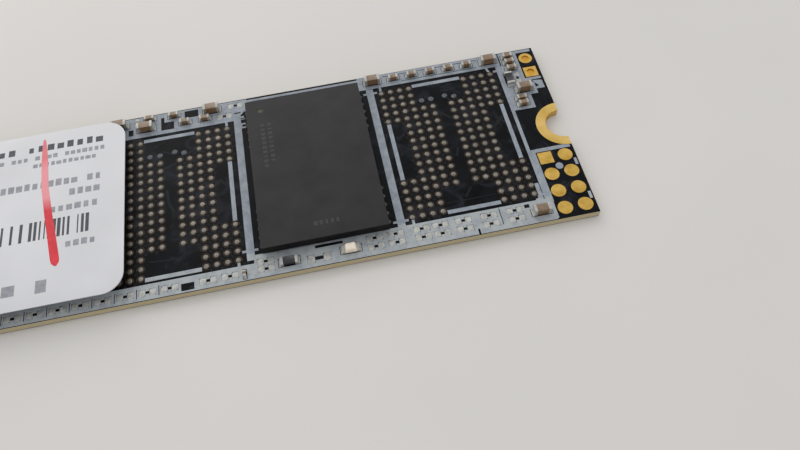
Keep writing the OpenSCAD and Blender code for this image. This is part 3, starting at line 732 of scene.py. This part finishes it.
def pillow_tree():
    """A low pillow of solder on each land of a site."""
    tree, given = new_tree("solder_pillows", Land_diameter="Float", Solder_height="Float", **SITE_INPUTS)
    points, _ = land_points(tree, given)
    radius = add(tree, "ShaderNodeMath", {0: given["Land diameter"], 1: 0.5}, operation="MULTIPLY")
    cone = add(
        tree, "GeometryNodeMeshCone",
        {"Vertices": 16, "Side Segments": 4, "Radius Top": 0.0, "Radius Bottom": radius, "Depth": radius},
        fill_type="NONE",
    )
    spot = add(tree, "GeometryNodeInputPosition")
    place = add(tree, "ShaderNodeSeparateXYZ", {"Vector": spot}).outputs
    climbed = add(tree, "ShaderNodeMath", {0: place["Z"], 1: radius}, operation="DIVIDE")
    out = add(tree, "ShaderNodeMath", {0: 1.0, 1: climbed}, operation="SUBTRACT")
    fall = add(tree, "ShaderNodeMath", {0: out, 1: SWELL}, operation="POWER")
    swell = add(tree, "ShaderNodeMath", {0: 1.0, 1: fall}, operation="SUBTRACT")
    lift = add(tree, "ShaderNodeMath", {0: swell, 1: given["Solder height"]}, operation="MULTIPLY")
    pressed = add(tree, "ShaderNodeCombineXYZ", {"X": place["X"], "Y": place["Y"], "Z": lift})
    pillow = add(tree, "GeometryNodeSetPosition", {"Geometry": cone, "Position": pressed})
    return end_tree(tree, points, pillow, given["Material"], smooth=True)


def rim_tree():
    """The thin brown disc of bare laminate round each land."""
    tree, given = new_tree("land_rims", Rim_diameter="Float", Rim_height="Float", **SITE_INPUTS)
    points, _ = land_points(tree, given)
    radius = add(tree, "ShaderNodeMath", {0: given["Rim diameter"], 1: 0.5}, operation="MULTIPLY")
    disc = add(
        tree, "GeometryNodeMeshCylinder", {"Vertices": 16, "Radius": radius, "Depth": given["Rim height"]},
    )
    return end_tree(tree, points, disc, given["Material"])


def escape_tree():
    """The covered trace and via that lead away from each land, towards the nearest corner of the site.

    The via stands a little higher than its trace, and the middle row leads to the far side.
    """
    tree, given = new_tree(
        "escape_traces", Trace_width="Float", Via_diameter="Float", Copper_height="Float", **SITE_INPUTS,
    )
    points, place = land_points(tree, given)
    copper_h = given["Copper height"]
    reach = add(tree, "ShaderNodeMath", {0: given["Pitch"], 1: math.sqrt(0.5)}, operation="MULTIPLY")
    half_reach = add(tree, "ShaderNodeMath", {0: reach, 1: 0.5}, operation="MULTIPLY")
    strip_size = add(tree, "ShaderNodeCombineXYZ", {"X": reach, "Y": given["Trace width"], "Z": copper_h})
    strip_at = add(tree, "ShaderNodeCombineXYZ", {"X": half_reach})
    strip = add(tree, "GeometryNodeMeshCube", {"Size": strip_size})
    strip_out = add(tree, "GeometryNodeTransform", {"Geometry": strip, "Translation": strip_at})
    via_r = add(tree, "ShaderNodeMath", {0: given["Via diameter"], 1: 0.5}, operation="MULTIPLY")
    via_h = add(tree, "ShaderNodeMath", {0: copper_h, 1: 1.6}, operation="MULTIPLY")
    via_at = add(tree, "ShaderNodeCombineXYZ", {"X": reach})
    via = add(tree, "GeometryNodeMeshCylinder", {"Vertices": 12, "Radius": via_r, "Depth": via_h})
    via_out = add(tree, "GeometryNodeTransform", {"Geometry": via, "Translation": via_at})
    both = add(tree, "GeometryNodeJoinGeometry")
    for part in (strip_out, via_out):
        tree.links.new(part.outputs[0], both.inputs[0])
    past_middle = add(tree, "ShaderNodeMath", {0: place["Y"], 1: 0.1 * MM}, operation="ADD")
    side_y = add(tree, "ShaderNodeMath", {0: past_middle}, operation="SIGN")
    side_x = add(tree, "ShaderNodeMath", {0: place["X"]}, operation="SIGN")
    turn = add(tree, "ShaderNodeMath", {0: side_y, 1: side_x}, operation="ARCTAN2")
    outwards = add(tree, "ShaderNodeCombineXYZ", {"Z": turn})
    return end_tree(tree, points, both, given["Material"], Rotation=outwards)


def bars_tree():
    """A line of printed bars of uneven width and height, with gaps, for plain stand-in print."""
    tree, given = new_tree(
        "printed_bars", Bars="Int", Spacing="Float", Least_width="Float", Most_width="Float",
        Bar_height="Float", Least_share="Float", Gap_share="Float", Ink_height="Float", Seed="Int",
        Material="Material",
    )
    seed = given["Seed"]
    step = add(tree, "ShaderNodeCombineXYZ", {"X": given["Spacing"]})
    line = add(tree, "GeometryNodeMeshLine", {"Count": given["Bars"], "Offset": step})
    gap = add(
        tree, "FunctionNodeRandomValue", {"Probability": given["Gap share"], "Seed": seed},
        data_type="BOOLEAN",
    ).outputs[3]
    kept = add(tree, "GeometryNodeDeleteGeometry", {"Geometry": line, "Selection": gap}, domain="POINT")
    width = add(
        tree, "FunctionNodeRandomValue", {2: given["Least width"], 3: given["Most width"], "Seed": seed},
        data_type="FLOAT",
    ).outputs[1]
    height_seed = add(tree, "ShaderNodeMath", {0: seed, 1: 100.0}, operation="ADD")
    share = add(
        tree, "FunctionNodeRandomValue", {2: given["Least share"], 3: 1.0, "Seed": height_seed},
        data_type="FLOAT",
    ).outputs[1]
    height = add(tree, "ShaderNodeMath", {0: given["Bar height"], 1: share}, operation="MULTIPLY")
    bar = add(tree, "GeometryNodeMeshCube", {"Size": (1.0, 1.0, 1.0)})
    standing = add(tree, "GeometryNodeTransform", {"Geometry": bar, "Translation": (0.0, 0.5, 0.0)})
    size = add(tree, "ShaderNodeCombineXYZ", {"X": width, "Y": height, "Z": given["Ink height"]})
    return end_tree(tree, kept, standing, given["Material"], Scale=size)


def via_tree():
    """Covered vias scattered over a stretch of board, from a grid with most of its points left out."""
    tree, given = new_tree(
        "covered_vias", Length="Float", Width="Float", Columns="Int", Rows="Int", Left_out="Float",
        Shake="Float", Via_diameter="Float", Copper_height="Float", Seed="Int", Material="Material",
    )
    shake = given["Shake"]
    grid = add(
        tree, "GeometryNodeMeshGrid",
        {
            "Size X": given["Length"],
            "Size Y": given["Width"],
            "Vertices X": given["Columns"],
            "Vertices Y": given["Rows"],
        },
    )
    out = add(
        tree, "FunctionNodeRandomValue", {"Probability": given["Left out"], "Seed": given["Seed"]},
        data_type="BOOLEAN",
    ).outputs[3]
    kept = add(tree, "GeometryNodeDeleteGeometry", {"Geometry": grid, "Selection": out}, domain="POINT")
    back = add(tree, "ShaderNodeMath", {0: shake, 1: -1.0}, operation="MULTIPLY")
    least = add(tree, "ShaderNodeCombineXYZ", {"X": back, "Y": back})
    most = add(tree, "ShaderNodeCombineXYZ", {"X": shake, "Y": shake})
    shift = add(
        tree, "FunctionNodeRandomValue", {0: least, 1: most, "Seed": given["Seed"]},
        data_type="FLOAT_VECTOR",
    )
    moved = add(tree, "GeometryNodeSetPosition", {"Geometry": kept, "Offset": shift})
    radius = add(tree, "ShaderNodeMath", {0: given["Via diameter"], 1: 0.5}, operation="MULTIPLY")
    via = add(
        tree, "GeometryNodeMeshCylinder",
        {"Vertices": 14, "Radius": radius, "Depth": given["Copper height"]},
    )
    return end_tree(tree, moved, via, given["Material"])


PILLOWS = pillow_tree()
RIMS = rim_tree()
ESCAPES = escape_tree()
BARS = bars_tree()
VIAS = via_tree()


# Board, gold, solder balls, regulator and crystal: the CAD shapes stay

dress("circuit_board", MASK)
for node in ("notch_plating", "edge_contacts_top", "edge_contacts_bottom"):
    dress(node, GOLD)
for node in ("service_pad_square", "service_pads_round"):
    dress(node, PAD_GOLD)
# The jumper pads' gold darkens towards the middle as painted shade
for node in ("jumper_pad_round", "jumper_pad_square"):
    dress(node, filled_hole_gold_and_shade(node))
for node in ("memory_solder_balls", "covered_memory_solder_balls", "controller_solder_balls"):
    dress(node, SOLDER)
dress("power_regulator", EPOXY)
dress("crystal_base", EPOXY)
dress("crystal_cover", NICKEL)


# Print, with the bar beside the screw notch trimmed to a narrow line

# The trimmed strip: its start from the print's right end, its width, and what is left at its two ends
TRIM_FROM_END = 4.13 * MM
TRIM_W = 0.5 * MM
TRIM_GAP = 0.06 * MM
TRIM_DEPTH = 0.1 * MM


def trimmed_print():
    """The printed layer less a strip of the last wide bar, from the parts' frames to the service pads."""
    notch_low, notch_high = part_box("notch_plating")
    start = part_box("board_print")[1].x - TRIM_FROM_END
    low = Vector((start, notch_low.y + TRIM_GAP, BOARD_TOP - TRIM_DEPTH))
    high = Vector((low.x + TRIM_W, notch_high.y - TRIM_GAP, BOARD_TOP + TRIM_DEPTH))
    cut = bmesh.new()
    bmesh.ops.create_cube(cut, size=1.0)
    for vert in cut.verts:
        vert.co = (low + high) / 2 + Matrix.Diagonal(high - low) @ vert.co
    cutter_mesh = bpy.data.meshes.new("print_trim")
    cut.to_mesh(cutter_mesh)
    cut.free()
    cutter = bpy.data.objects.new("print_trim", cutter_mesh)
    bpy.context.scene.collection.objects.link(cutter)
    shape = merged_copy("board_print")
    whole = bpy.data.meshes.new("board_print_whole")
    shape.to_mesh(whole)
    shape.free()
    whole.materials.append(INK)
    how = {"operation": "DIFFERENCE", "solver": "EXACT", "object": cutter}
    mesh = evaluated("screened_board_print", whole, "BOOLEAN", **how)
    bpy.data.objects.remove(cutter)
    piece("screened_board_print", mesh, "print_ink", "board_print")


trimmed_print()


# Lands of the memory sites

def middle(node):
    """The place of a node's middle, at the height of the board's top."""
    low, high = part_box(node)
    return Matrix.Translation(((low.x + high.x) / 2, (low.y + high.y) / 2, BOARD_TOP))


RIGHT_SITE = middle("bare_lands_right")
LEFT_SITE = middle("bare_lands_left")
CHIP_SITE = middle("memory_package")
COVERED_SITE = middle("covered_memory_package")
OPEN_SITES = {"right_site": RIGHT_SITE, "left_site": LEFT_SITE}


def site_values(first, material, **sizes):
    """The inputs of a site's tree, for its lands from one column outwards."""
    values = {
        "Pitch": LAND_PITCH, "First column": float(first), "Last column": float(SITE_COLS),
        "Material": material,
    }
    return values | {name.replace("_", " "): value for name, value in sizes.items()}


def lands(name, place, first, material):
    """A site's pillows of solder, from one column outwards."""
    values = site_values(first, material, Land_diameter=LAND_D, Solder_height=LAND_H)
    return grow(name, PILLOWS, values, place)


piece("right_site_lands", lands("right_site_lands", RIGHT_SITE, 1, SOLDER), "solder", "bare_lands_right")
piece("left_site_lands", lands("left_site_lands", LEFT_SITE, 1, SOLDER), "solder", "bare_lands_left")
# The lands beside the packages take solder painted dark as shade
edge_lands = [
    lands("edge_lands", place, PACKAGE_COLS + 1, SOLDER_PAINTED_DARK) for place in (CHIP_SITE, COVERED_SITE)
]
piece("package_edge_lands", joined("package_edge_lands", edge_lands), "solder", "memory_outer_lands")

# Height and width of a covered trace, and the width of its via
TRACE_H = 0.01 * MM
TRACE_W = 0.12 * MM
VIA_D = 0.28 * MM

rim_values = site_values(1, RIM, Rim_diameter=RIM_D, Rim_height=RIM_H)
trace_values = site_values(1, COPPER, Trace_width=TRACE_W, Via_diameter=VIA_D, Copper_height=TRACE_H)
for site, place in OPEN_SITES.items():
    rims = grow(site + "_land_rims", RIMS, rim_values, place)
    piece(site + "_land_rims", rims, "solder_mask")
    escapes = grow(site + "_escape_traces", ESCAPES, trace_values, place)
    piece(site + "_escape_traces", escapes, "solder_mask")


# Covered traces that show through the mask

# The back's traces, in millimetres: start, first line, spacing, width and sidestep, and the supply's width
BACK_TRACES = 7
BACK_START = -36.6
BACK_FIRST = -4.2
BACK_PITCH = 0.42
BACK_W = 0.16
BACK_STEP = 4.0
SUPPLY_W = 0.9


def add_strip(shape, points, width, low, high):
    """A flat strip of one width along a line of points in millimetres, between two heights."""
    line = [Vector(p) for p in points]
    rows = []
    for i, at in enumerate(line):
        along = (line[min(i + 1, len(line) - 1)] - line[max(i - 1, 0)]).normalized()
        across = Vector((-along.y, along.x)) * width / 2
        spots = [(at + across * s) * MM for s in (1, -1)]
        rows.append([shape.verts.new((p.x, p.y, z)) for z in (low, high) for p in spots])
    for a, b in zip(rows, rows[1:]):
        for i, j in ((0, 1), (1, 3), (3, 2), (2, 0)):
            shape.faces.new((a[i], a[j], b[j], b[i]))
    for end in (rows[0], rows[-1]):
        shape.faces.new((end[0], end[1], end[3], end[2]))


def covered_traces():
    """Traces in the black fields, as the light picks them out through the mask.

    Each has its points, from the middle of its site, and its width, in millimetres.
    """
    right = [
        ([(4.4, 0.8), (5.0, 1.4), (5.8, 2.1)], 0.34),
        ([(-5.8, 1.1), (-4.3, -0.3)], 0.16),
        ([(-4.7, -1.3), (-4.3, -1.9)], 0.16),
        ([(-0.6, 4.1), (0.5, 3.0)], 0.3),
        ([(0.2, -0.9), (-0.1, -1.9)], 0.22),
        ([(-0.5, -6.9), (0.3, -5.8)], 0.22),
        ([(-2.4, -7.2), (2.3, -7.2)], 0.12),
        ([(1.5, 6.0), (1.8, 5.3)], 0.2),
        ([(0.5, 6.3), (0.9, 5.3)], 0.2),
        ([(3.4, 7.6), (4.4, 6.6), (5.4, 5.6)], 0.14),
        ([(3.9, 7.9), (5.0, 6.8)], 0.12),
    ]
    left = [
        ([(-2.2, 5.9), (-0.6, 6.4), (0.5, 5.8)], 0.2),
        ([(0.9, 5.2), (2.4, 5.9), (3.6, 5.9)], 0.24),
        ([(-0.5, 4.2), (0.6, 4.6)], 0.3),
        ([(-0.4, 1.5), (-0.2, -0.3), (0.3, -1.4)], 0.3),
        ([(4.8, 1.6), (5.6, 0.7)], 0.22),
        ([(4.6, -1.7), (5.4, -2.4)], 0.2),
        ([(-2.2, -6.4), (0.2, -6.6), (2.4, -6.0)], 0.14),
    ]
    shape = bmesh.new()
    for place, lines in ((RIGHT_SITE, right), (LEFT_SITE, left)):
        x, y = place.translation.x / MM, place.translation.y / MM
        for points, width in lines:
            moved = [(x + px, y + py) for px, py in points]
            add_strip(shape, moved, width, BOARD_TOP - TRACE_H / 2, BOARD_TOP + TRACE_H)
    piece("covered_long_traces", to_mesh(shape, "covered_long_traces", COPPER), "solder_mask")


def hazed_vias():
    """Four vias in a row at the far end of each open site, each under a blot of dried flux."""
    spots = ((-2.0, 6.05), (-1.0, 6.05), (0.5, 6.15), (1.45, 5.85))
    foot_r, top_r = 0.3 * MM, 0.2 * MM
    depth, lift = 1.4 * TRACE_H, 0.6 * TRACE_H
    shape = bmesh.new()
    for place in OPEN_SITES.values():
        for x, y in spots:
            at = place @ Matrix.Translation((x * MM, y * MM, lift))
            bmesh.ops.create_cone(
                shape, cap_ends=True, segments=14, radius1=foot_r, radius2=top_r, depth=depth, matrix=at,
            )
    piece("hazed_vias", to_mesh(shape, "hazed_vias", HAZE), "solder_mask")


def covered_back():
    """The bare back of the board: covered vias, and long traces from the contacts towards the packages."""
    values = {
        "Length": 66 * MM, "Width": 18.4 * MM, "Columns": 45, "Rows": 13, "Left out": 0.78,
        "Shake": 0.4 * MM, "Via diameter": 0.46 * MM, "Copper height": 2 * TRACE_H, "Seed": 4,
        "Material": COPPER,
    }
    vias = grow("back_vias", VIAS, values, Matrix.Translation((1 * MM, 0, 0)))
    piece("back_vias", vias, "solder_mask")
    shape = bmesh.new()
    low, high = -0.5 * TRACE_H, 0.5 * TRACE_H
    for i in range(BACK_TRACES):
        y = BACK_FIRST + i * BACK_PITCH
        far_y = y + BACK_STEP
        bend = -24 - 0.17 * i
        points = [
            (BACK_START, y), (bend, y), (bend + BACK_STEP, far_y), (8 - i, far_y), (12 - i, y + 0.5),
        ]
        add_strip(shape, points, BACK_W, low, high)
    for y in (9.3, -9.4):
        add_strip(shape, [(-33, y), (30, y)], SUPPLY_W, low, high)
    piece("back_traces", to_mesh(shape, "back_traces", COPPER), "solder_mask")


covered_traces()
hazed_vias()
covered_back()


# Moulded packages, with a crisp but rounded rim

# The dimple's middle from the two nearest sides, the reach and depth of its floor, and the start of the
# sawn sides below the top, which are painted nearly black as shade
DIMPLE_INSET = 1.5 * MM
DIMPLE_REACH = 0.25 * MM
DIMPLE_FLOOR = 0.03 * MM
SIDE_SHADE_BELOW = 0.2 * MM


def package(node):
    """A package with its rim rounded, ink in its dimple, and its sawn sides painted nearly black as shade.
    """
    shape = clean_copy(node)
    round_edges(shape, width_mm=0.06, shortest_mm=4)
    low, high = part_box(node)
    dimple = Vector((low.x + DIMPLE_INSET, high.y - DIMPLE_INSET, high.z))

    def pick(at):
        if (at - dimple).length < DIMPLE_REACH and at.z < high.z - DIMPLE_FLOOR:
            return 1
        # Side faces below this take the epoxy painted nearly black as shade
        return 2 if at.z < high.z - SIDE_SHADE_BELOW else 0

    piece(node + "_moulded", to_mesh(shape, node, EPOXY, DOT, SIDE_SHADE_EPOXY, pick=pick), "mould_compound", node)


for node in ("memory_package", "covered_memory_package", "controller_package"):
    package(node)

MARK_H = 0.004 * MM


def bar_values(bars, spacing, widths, height, ink_height, seed, material, least_share=1.0, gap_share=0.0):
    """The inputs of a line of bars, from its spacing, widths and height in millimetres."""
    return {
        "Bars": bars, "Spacing": spacing * MM, "Least width": widths[0] * MM, "Most width": widths[1] * MM,
        "Bar height": height * MM, "Least share": least_share, "Gap share": gap_share,
        "Ink height": ink_height, "Seed": seed, "Material": material,
    }


def package_marks():
    """Faint laser marks: plain dashes, in two rows along the package and one across it."""
    low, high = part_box("memory_package")
    quarter_turn = Matrix.Rotation(-math.pi / 2, 4, "Z")
    rows = []
    for i, bars in enumerate((10, 9)):
        values = bar_values(
            bars, spacing=0.58, widths=(0.16, 0.42), height=0.42, ink_height=MARK_H, seed=11 + i,
            material=ETCHED,
        )
        at = Vector((low.x + (1.3 + 0.72 * i) * MM, high.y - 3.5 * MM, high.z))
        rows.append(grow("mark_row", BARS, values, Matrix.Translation(at) @ quarter_turn))
    values = bar_values(
        5, spacing=0.52, widths=(0.2, 0.42), height=0.48, ink_height=MARK_H, seed=21, material=ETCHED,
    )
    at = Vector((low.x + 5.3 * MM, low.y + 1.35 * MM, high.z))
    rows.append(grow("mark_row", BARS, values, Matrix.Translation(at)))
    piece("memory_package_marks", joined("memory_package_marks", rows), "mould_compound")


package_marks()


# Chip parts: rounded bodies with tinned ends

# How far the tin reaches from the ends of a large, a small and a tiny part, in millimetres
BIG_END = 0.252
SMALL_END = 0.202
TINY_END = 0.152


def chip(node, body, slot_name, end_mm, along=0, width_mm=0.04):
    """A chip part with rounded edges, and its faces near both ends in tin."""
    shape = clean_copy(node)
    round_edges(shape, width_mm, shortest_mm=0.1)
    low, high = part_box(node)

    def pick(at):
        inset = min(at[along] - low[along], high[along] - at[along])
        return 1 if inset < end_mm * MM else 0

    piece(node + "_part", to_mesh(shape, node, body, END_TIN, pick=pick), slot_name, node)


for node in sorted(NODES):
    if node.startswith("bulk_capacitor"):
        chip(node, CERAMIC, "capacitor_ceramic", BIG_END)
    elif "_capacitor_" in node:
        chip(node, CERAMIC, "capacitor_ceramic", SMALL_END, width_mm=0.03)
    elif node.startswith("power_inductor"):
        chip(node, FERRITE, "ferrite", BIG_END)
chip("tiny_capacitor", CERAMIC, "capacitor_ceramic", TINY_END, along=1, width_mm=0.02)
chip("pull_up_resistor", GLAZE, "resistor_glaze", BIG_END, width_mm=0.03)
chip("column_resistor", GLAZE, "resistor_glaze", BIG_END, along=1, width_mm=0.03)
chip("light_base", RESIN, "light_resin", BIG_END, width_mm=0.02)


def light_lens():
    """The status light's lens, with its upper edges rounded."""
    shape = clean_copy("light_lens")
    round_edges(shape, width_mm=0.1, segments=4)
    piece("light_lens_cast", to_mesh(shape, "light_lens", RESIN), "light_resin", "light_lens")


light_lens()


# Solder under the chip parts, and on the places left empty

# Length and curve of the fillets, height and spread of the pads, and the difference that still is level
FILLET_L = 0.18 * MM
FILLET_STEPS = 6
FILLET_POWER = 2.4
PAD_H = 0.03 * MM
PAD_SPREAD = 0.045 * MM
PAD_STEPS = 6
LEVEL = 1e-6


def add_fillet(shape, points):
    """One end's solder: a thin bed under the part and a hollow curve up its end."""
    low, high = box_of(points)
    top = [p for p in points if p.z > high.z - LEVEL]
    along = 0 if max(p.x for p in top) - min(p.x for p in top) < LEVEL else 1
    wall = top[0][along]
    out_high = abs(high[along] - wall - FILLET_L) < abs(wall - low[along] - FILLET_L)
    toe, heel = (high[along], low[along]) if out_high else (low[along], high[along])
    bed = low.z + PAD_H
    toe_z = low.z + PAD_H / 2
    profile = [(heel, low.z), (toe, low.z)]
    for i in range(FILLET_STEPS + 1):
        t = i / FILLET_STEPS
        climb = (high.z - low.z - PAD_H / 2) * t ** FILLET_POWER
        profile.append((toe + (wall - toe) * t, toe_z + climb))
    profile += [(wall, bed), (heel, bed)]
    ends = []
    for side in (low[1 - along], high[1 - along]):
        row = []
        for reach, z in profile:
            spot = (reach, side, z) if along == 0 else (side, reach, z)
            row.append(shape.verts.new(spot))
        ends.append(row)
        shape.faces.new(row)
    count = len(profile)
    for i in range(count):
        j = (i + 1) % count
        shape.faces.new((ends[0][i], ends[0][j], ends[1][j], ends[1][i]))


def add_pillow(shape, points):
    """One empty pad: a low pillow of solder that has spread over the pad to the print round it."""
    low, high = box_of(points)
    spread = Vector((PAD_SPREAD, PAD_SPREAD, 0))
    low, high = low - spread, high + spread
    size = high - low
    rows = []
    for i in range(PAD_STEPS + 1):
        row = []
        for j in range(PAD_STEPS + 1):
            u, v = 2 * i / PAD_STEPS - 1, 2 * j / PAD_STEPS - 1
            z = low.z + size.z * (1 - abs(u) ** SWELL) * (1 - abs(v) ** SWELL)
            row.append(shape.verts.new((low.x + size.x * (u + 1) / 2, low.y + size.y * (v + 1) / 2, z)))
        rows.append(row)
    for a, b in zip(rows, rows[1:]):
        for j in range(PAD_STEPS):
            shape.faces.new((a[j], b[j], b[j + 1], a[j + 1]))


def solder_on(node, add_one, name, material):
    """One piece with a solder shape in place of each separate solid of a node."""
    shape = bmesh.new()
    for points in islands(node):
        add_one(shape, points)
    piece(name, to_mesh(shape, name, material), "solder", node)


solder_on("chip_solder_joints", add_fillet, "chip_solder_fillets", PAD_TIN)
solder_on("spare_pads_far", add_pillow, "far_empty_pads", PAD_TIN)
solder_on("spare_pads_near", add_pillow, "near_empty_pads", PAD_TIN)


# Label: a sheet that lies on the packages and droops a little where nothing carries it

# Droop along and across the card, per metre of the squared distance past what carries the sheet
LENGTH_DROOP = 6.0
SIDE_DROOP = 40.0
LABEL_INK_H = 0.006 * MM
carrier_low, carrier_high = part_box("covered_memory_package")
carrier_low_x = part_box("controller_package")[0].x


def label_drop(x, y):
    """How far the sheet hangs at a place, in metres."""
    out_x = max(carrier_low_x - x, x - carrier_high.x, 0)
    out_y = max(carrier_low.y - y, y - carrier_high.y, 0)
    return LENGTH_DROOP * out_x ** 2 + SIDE_DROOP * out_y ** 2


def label_sheet():
    """The label, cut every millimetre and more closely near its edges, so that it can droop."""
    shape = clean_copy("drive_label")
    edge_cuts = [0.2, 0.45, 0.75, 1.1]
    for axis in (0, 1):
        span = (label_high[axis] - label_low[axis]) / MM
        cuts = list(range(1, int(span))) + edge_cuts + [span - c for c in edge_cuts]
        normal = Vector((0, 0, 0))
        normal[axis] = 1
        for cut in cuts:
            at = Vector((0, 0, 0))
            at[axis] = label_low[axis] + cut * MM
            everything = shape.verts[:] + shape.edges[:] + shape.faces[:]
            bmesh.ops.bisect_plane(shape, geom=everything, plane_co=at, plane_no=normal, dist=1e-8)
    for vert in shape.verts:
        vert.co.z -= label_drop(vert.co.x, vert.co.y)
    piece("label_sheet", to_mesh(shape, "label_sheet", FILM, flat=True), "label_film", "drive_label")


label_sheet()


# Each line: its start along the card and its place across it, its number of bars, their spacing, least and
# most width and height in millimetres, and its seed; then the least share of that height and of gaps
BOLD_ROWS = [
    ((-30.9, 7.5, 26, 0.97, (0.42, 0.72), 0.86, 3), (0.7, 0.14)),
    ((-21.6, -3.2, 33, 0.44, (0.1, 0.34), 2.1, 15), (1.0, 0.16)),
]
THIN_ROWS = [
    ((-30.9, 6.45, 43, 0.585, (0.34, 0.5), 0.52, 5), (0.85, 0.12)),
    ((-12.9, 5.5, 12, 0.575, (0.32, 0.5), 0.5, 7), (0.85, 0.14)),
    ((-31.0, 2.8, 33, 0.76, (0.4, 0.62), 0.85, 9), (0.72, 0.12)),
    ((-9.1, 1.35, 4, 0.78, (0.45, 0.6), 0.8, 11), (0.8, 0.0)),
    ((-10.9, -0.35, 6, 0.8, (0.42, 0.62), 0.8, 13), (0.8, 0.0)),
    ((-9.2, -4.55, 4, 0.74, (0.4, 0.6), 0.7, 17), (0.8, 0.0)),
    ((-14.3, -8.7, 1, 1.0, (1.1, 1.2), 1.1, 19), (1.0, 0.0)),
    ((-11.4, -8.9, 1, 1.0, (0.9, 1.0), 1.3, 21), (1.0, 0.0)),
]


def label_row(start, y, bars, spacing, widths, height, seed, material, least_share, gap_share):
    """One line of bars, laid down on the drooping sheet."""
    at = Vector((start * MM, y * MM, label_high.z))
    values = bar_values(bars, spacing, widths, height, LABEL_INK_H, seed, material, least_share, gap_share)
    mesh = grow("label_row", BARS, values, Matrix.Translation(at))
    for vert in mesh.vertices:
        vert.co.z -= label_drop(vert.co.x, vert.co.y)
    return mesh


def label_print():
    """Plain dashes and bars, in lines like those of a label of this kind."""
    bold = [label_row(*row, PRINT, *shares) for row, shares in BOLD_ROWS]
    thin = [label_row(*row, THIN_PRINT, *shares) for row, shares in THIN_ROWS]
    piece("label_print", joined("label_print", bold), "label_film")
    piece("label_light_print", joined("label_light_print", thin), "label_film")


label_print()


# The pen's path and steps, its half width at the start and what it gains by the end, in millimetres; then
# the share of the path over which it opens from the tip's own share, and where and how it rounds off
STROKE_PATH = [(-12.2, 9.0), (-12.0, 6.1), (-11.75, 2.7), (-11.2, -0.7), (-10.75, -3.2), (-10.2, -6.4)]
STROKE_STEPS = 48
STROKE_HALF = 0.3
STROKE_GAIN = 0.12
STROKE_OPEN = 0.2
STROKE_TIP = 0.25
STROKE_CLOSE = 0.95
STROKE_ROUND = 0.051


def marker_stroke():
    """One red stroke drawn across the label by hand, thicker where the pen came to rest."""
    shape = bmesh.new()
    rows = []
    for i in range(STROKE_STEPS + 1):
        share = i / STROKE_STEPS
        t = share * (len(STROKE_PATH) - 1)
        k = min(int(t), len(STROKE_PATH) - 2)
        start, end = Vector(STROKE_PATH[k]), Vector(STROKE_PATH[k + 1])
        at = start.lerp(end, t - k)
        across = (end - start).normalized().orthogonal()
        half = STROKE_HALF + STROKE_GAIN * share
        if share < STROKE_OPEN:
            half *= STROKE_TIP + (1 - STROKE_TIP) * math.sqrt(share / STROKE_OPEN)
        if share > STROKE_CLOSE:
            half *= math.sqrt(max(1 - ((share - STROKE_CLOSE) / STROKE_ROUND) ** 2, 0))
        row = []
        for side in (-1, -0.4, 0.4, 1):
            spot = (at + across * side * half) * MM
            z = label_high.z + LABEL_INK_H - label_drop(spot.x, spot.y)
            row.append(shape.verts.new((spot.x, spot.y, z)))
        rows.append(row)
    for a, b in zip(rows, rows[1:]):
        for i in range(3):
            shape.faces.new((a[i], a[i + 1], b[i + 1], b[i]))
    mesh = to_mesh(shape, "marker_stroke", MARKER, flat=True)
    if mesh.polygons[0].normal.z < 0:
        mesh.flip_normals()
    piece("marker_stroke", mesh, "label_film")


marker_stroke()


# Table, as half its width and how far it lies under the card, in metres

TABLE_HALF = 1.5
TABLE_DROP = 0.03 * MM


def table_top():
    """The flat table, a hair under the card so that the covered vias on the back clear it."""
    shape = bmesh.new()
    bmesh.ops.create_grid(shape, x_segments=1, y_segments=1, size=TABLE_HALF)
    for vert in shape.verts:
        vert.co.z = -TABLE_DROP
    floor = bpy.data.objects.new("table_top", to_mesh(shape, "table_top", TABLE, flat=True))
    bpy.context.scene.collection.objects.link(floor)


table_top()
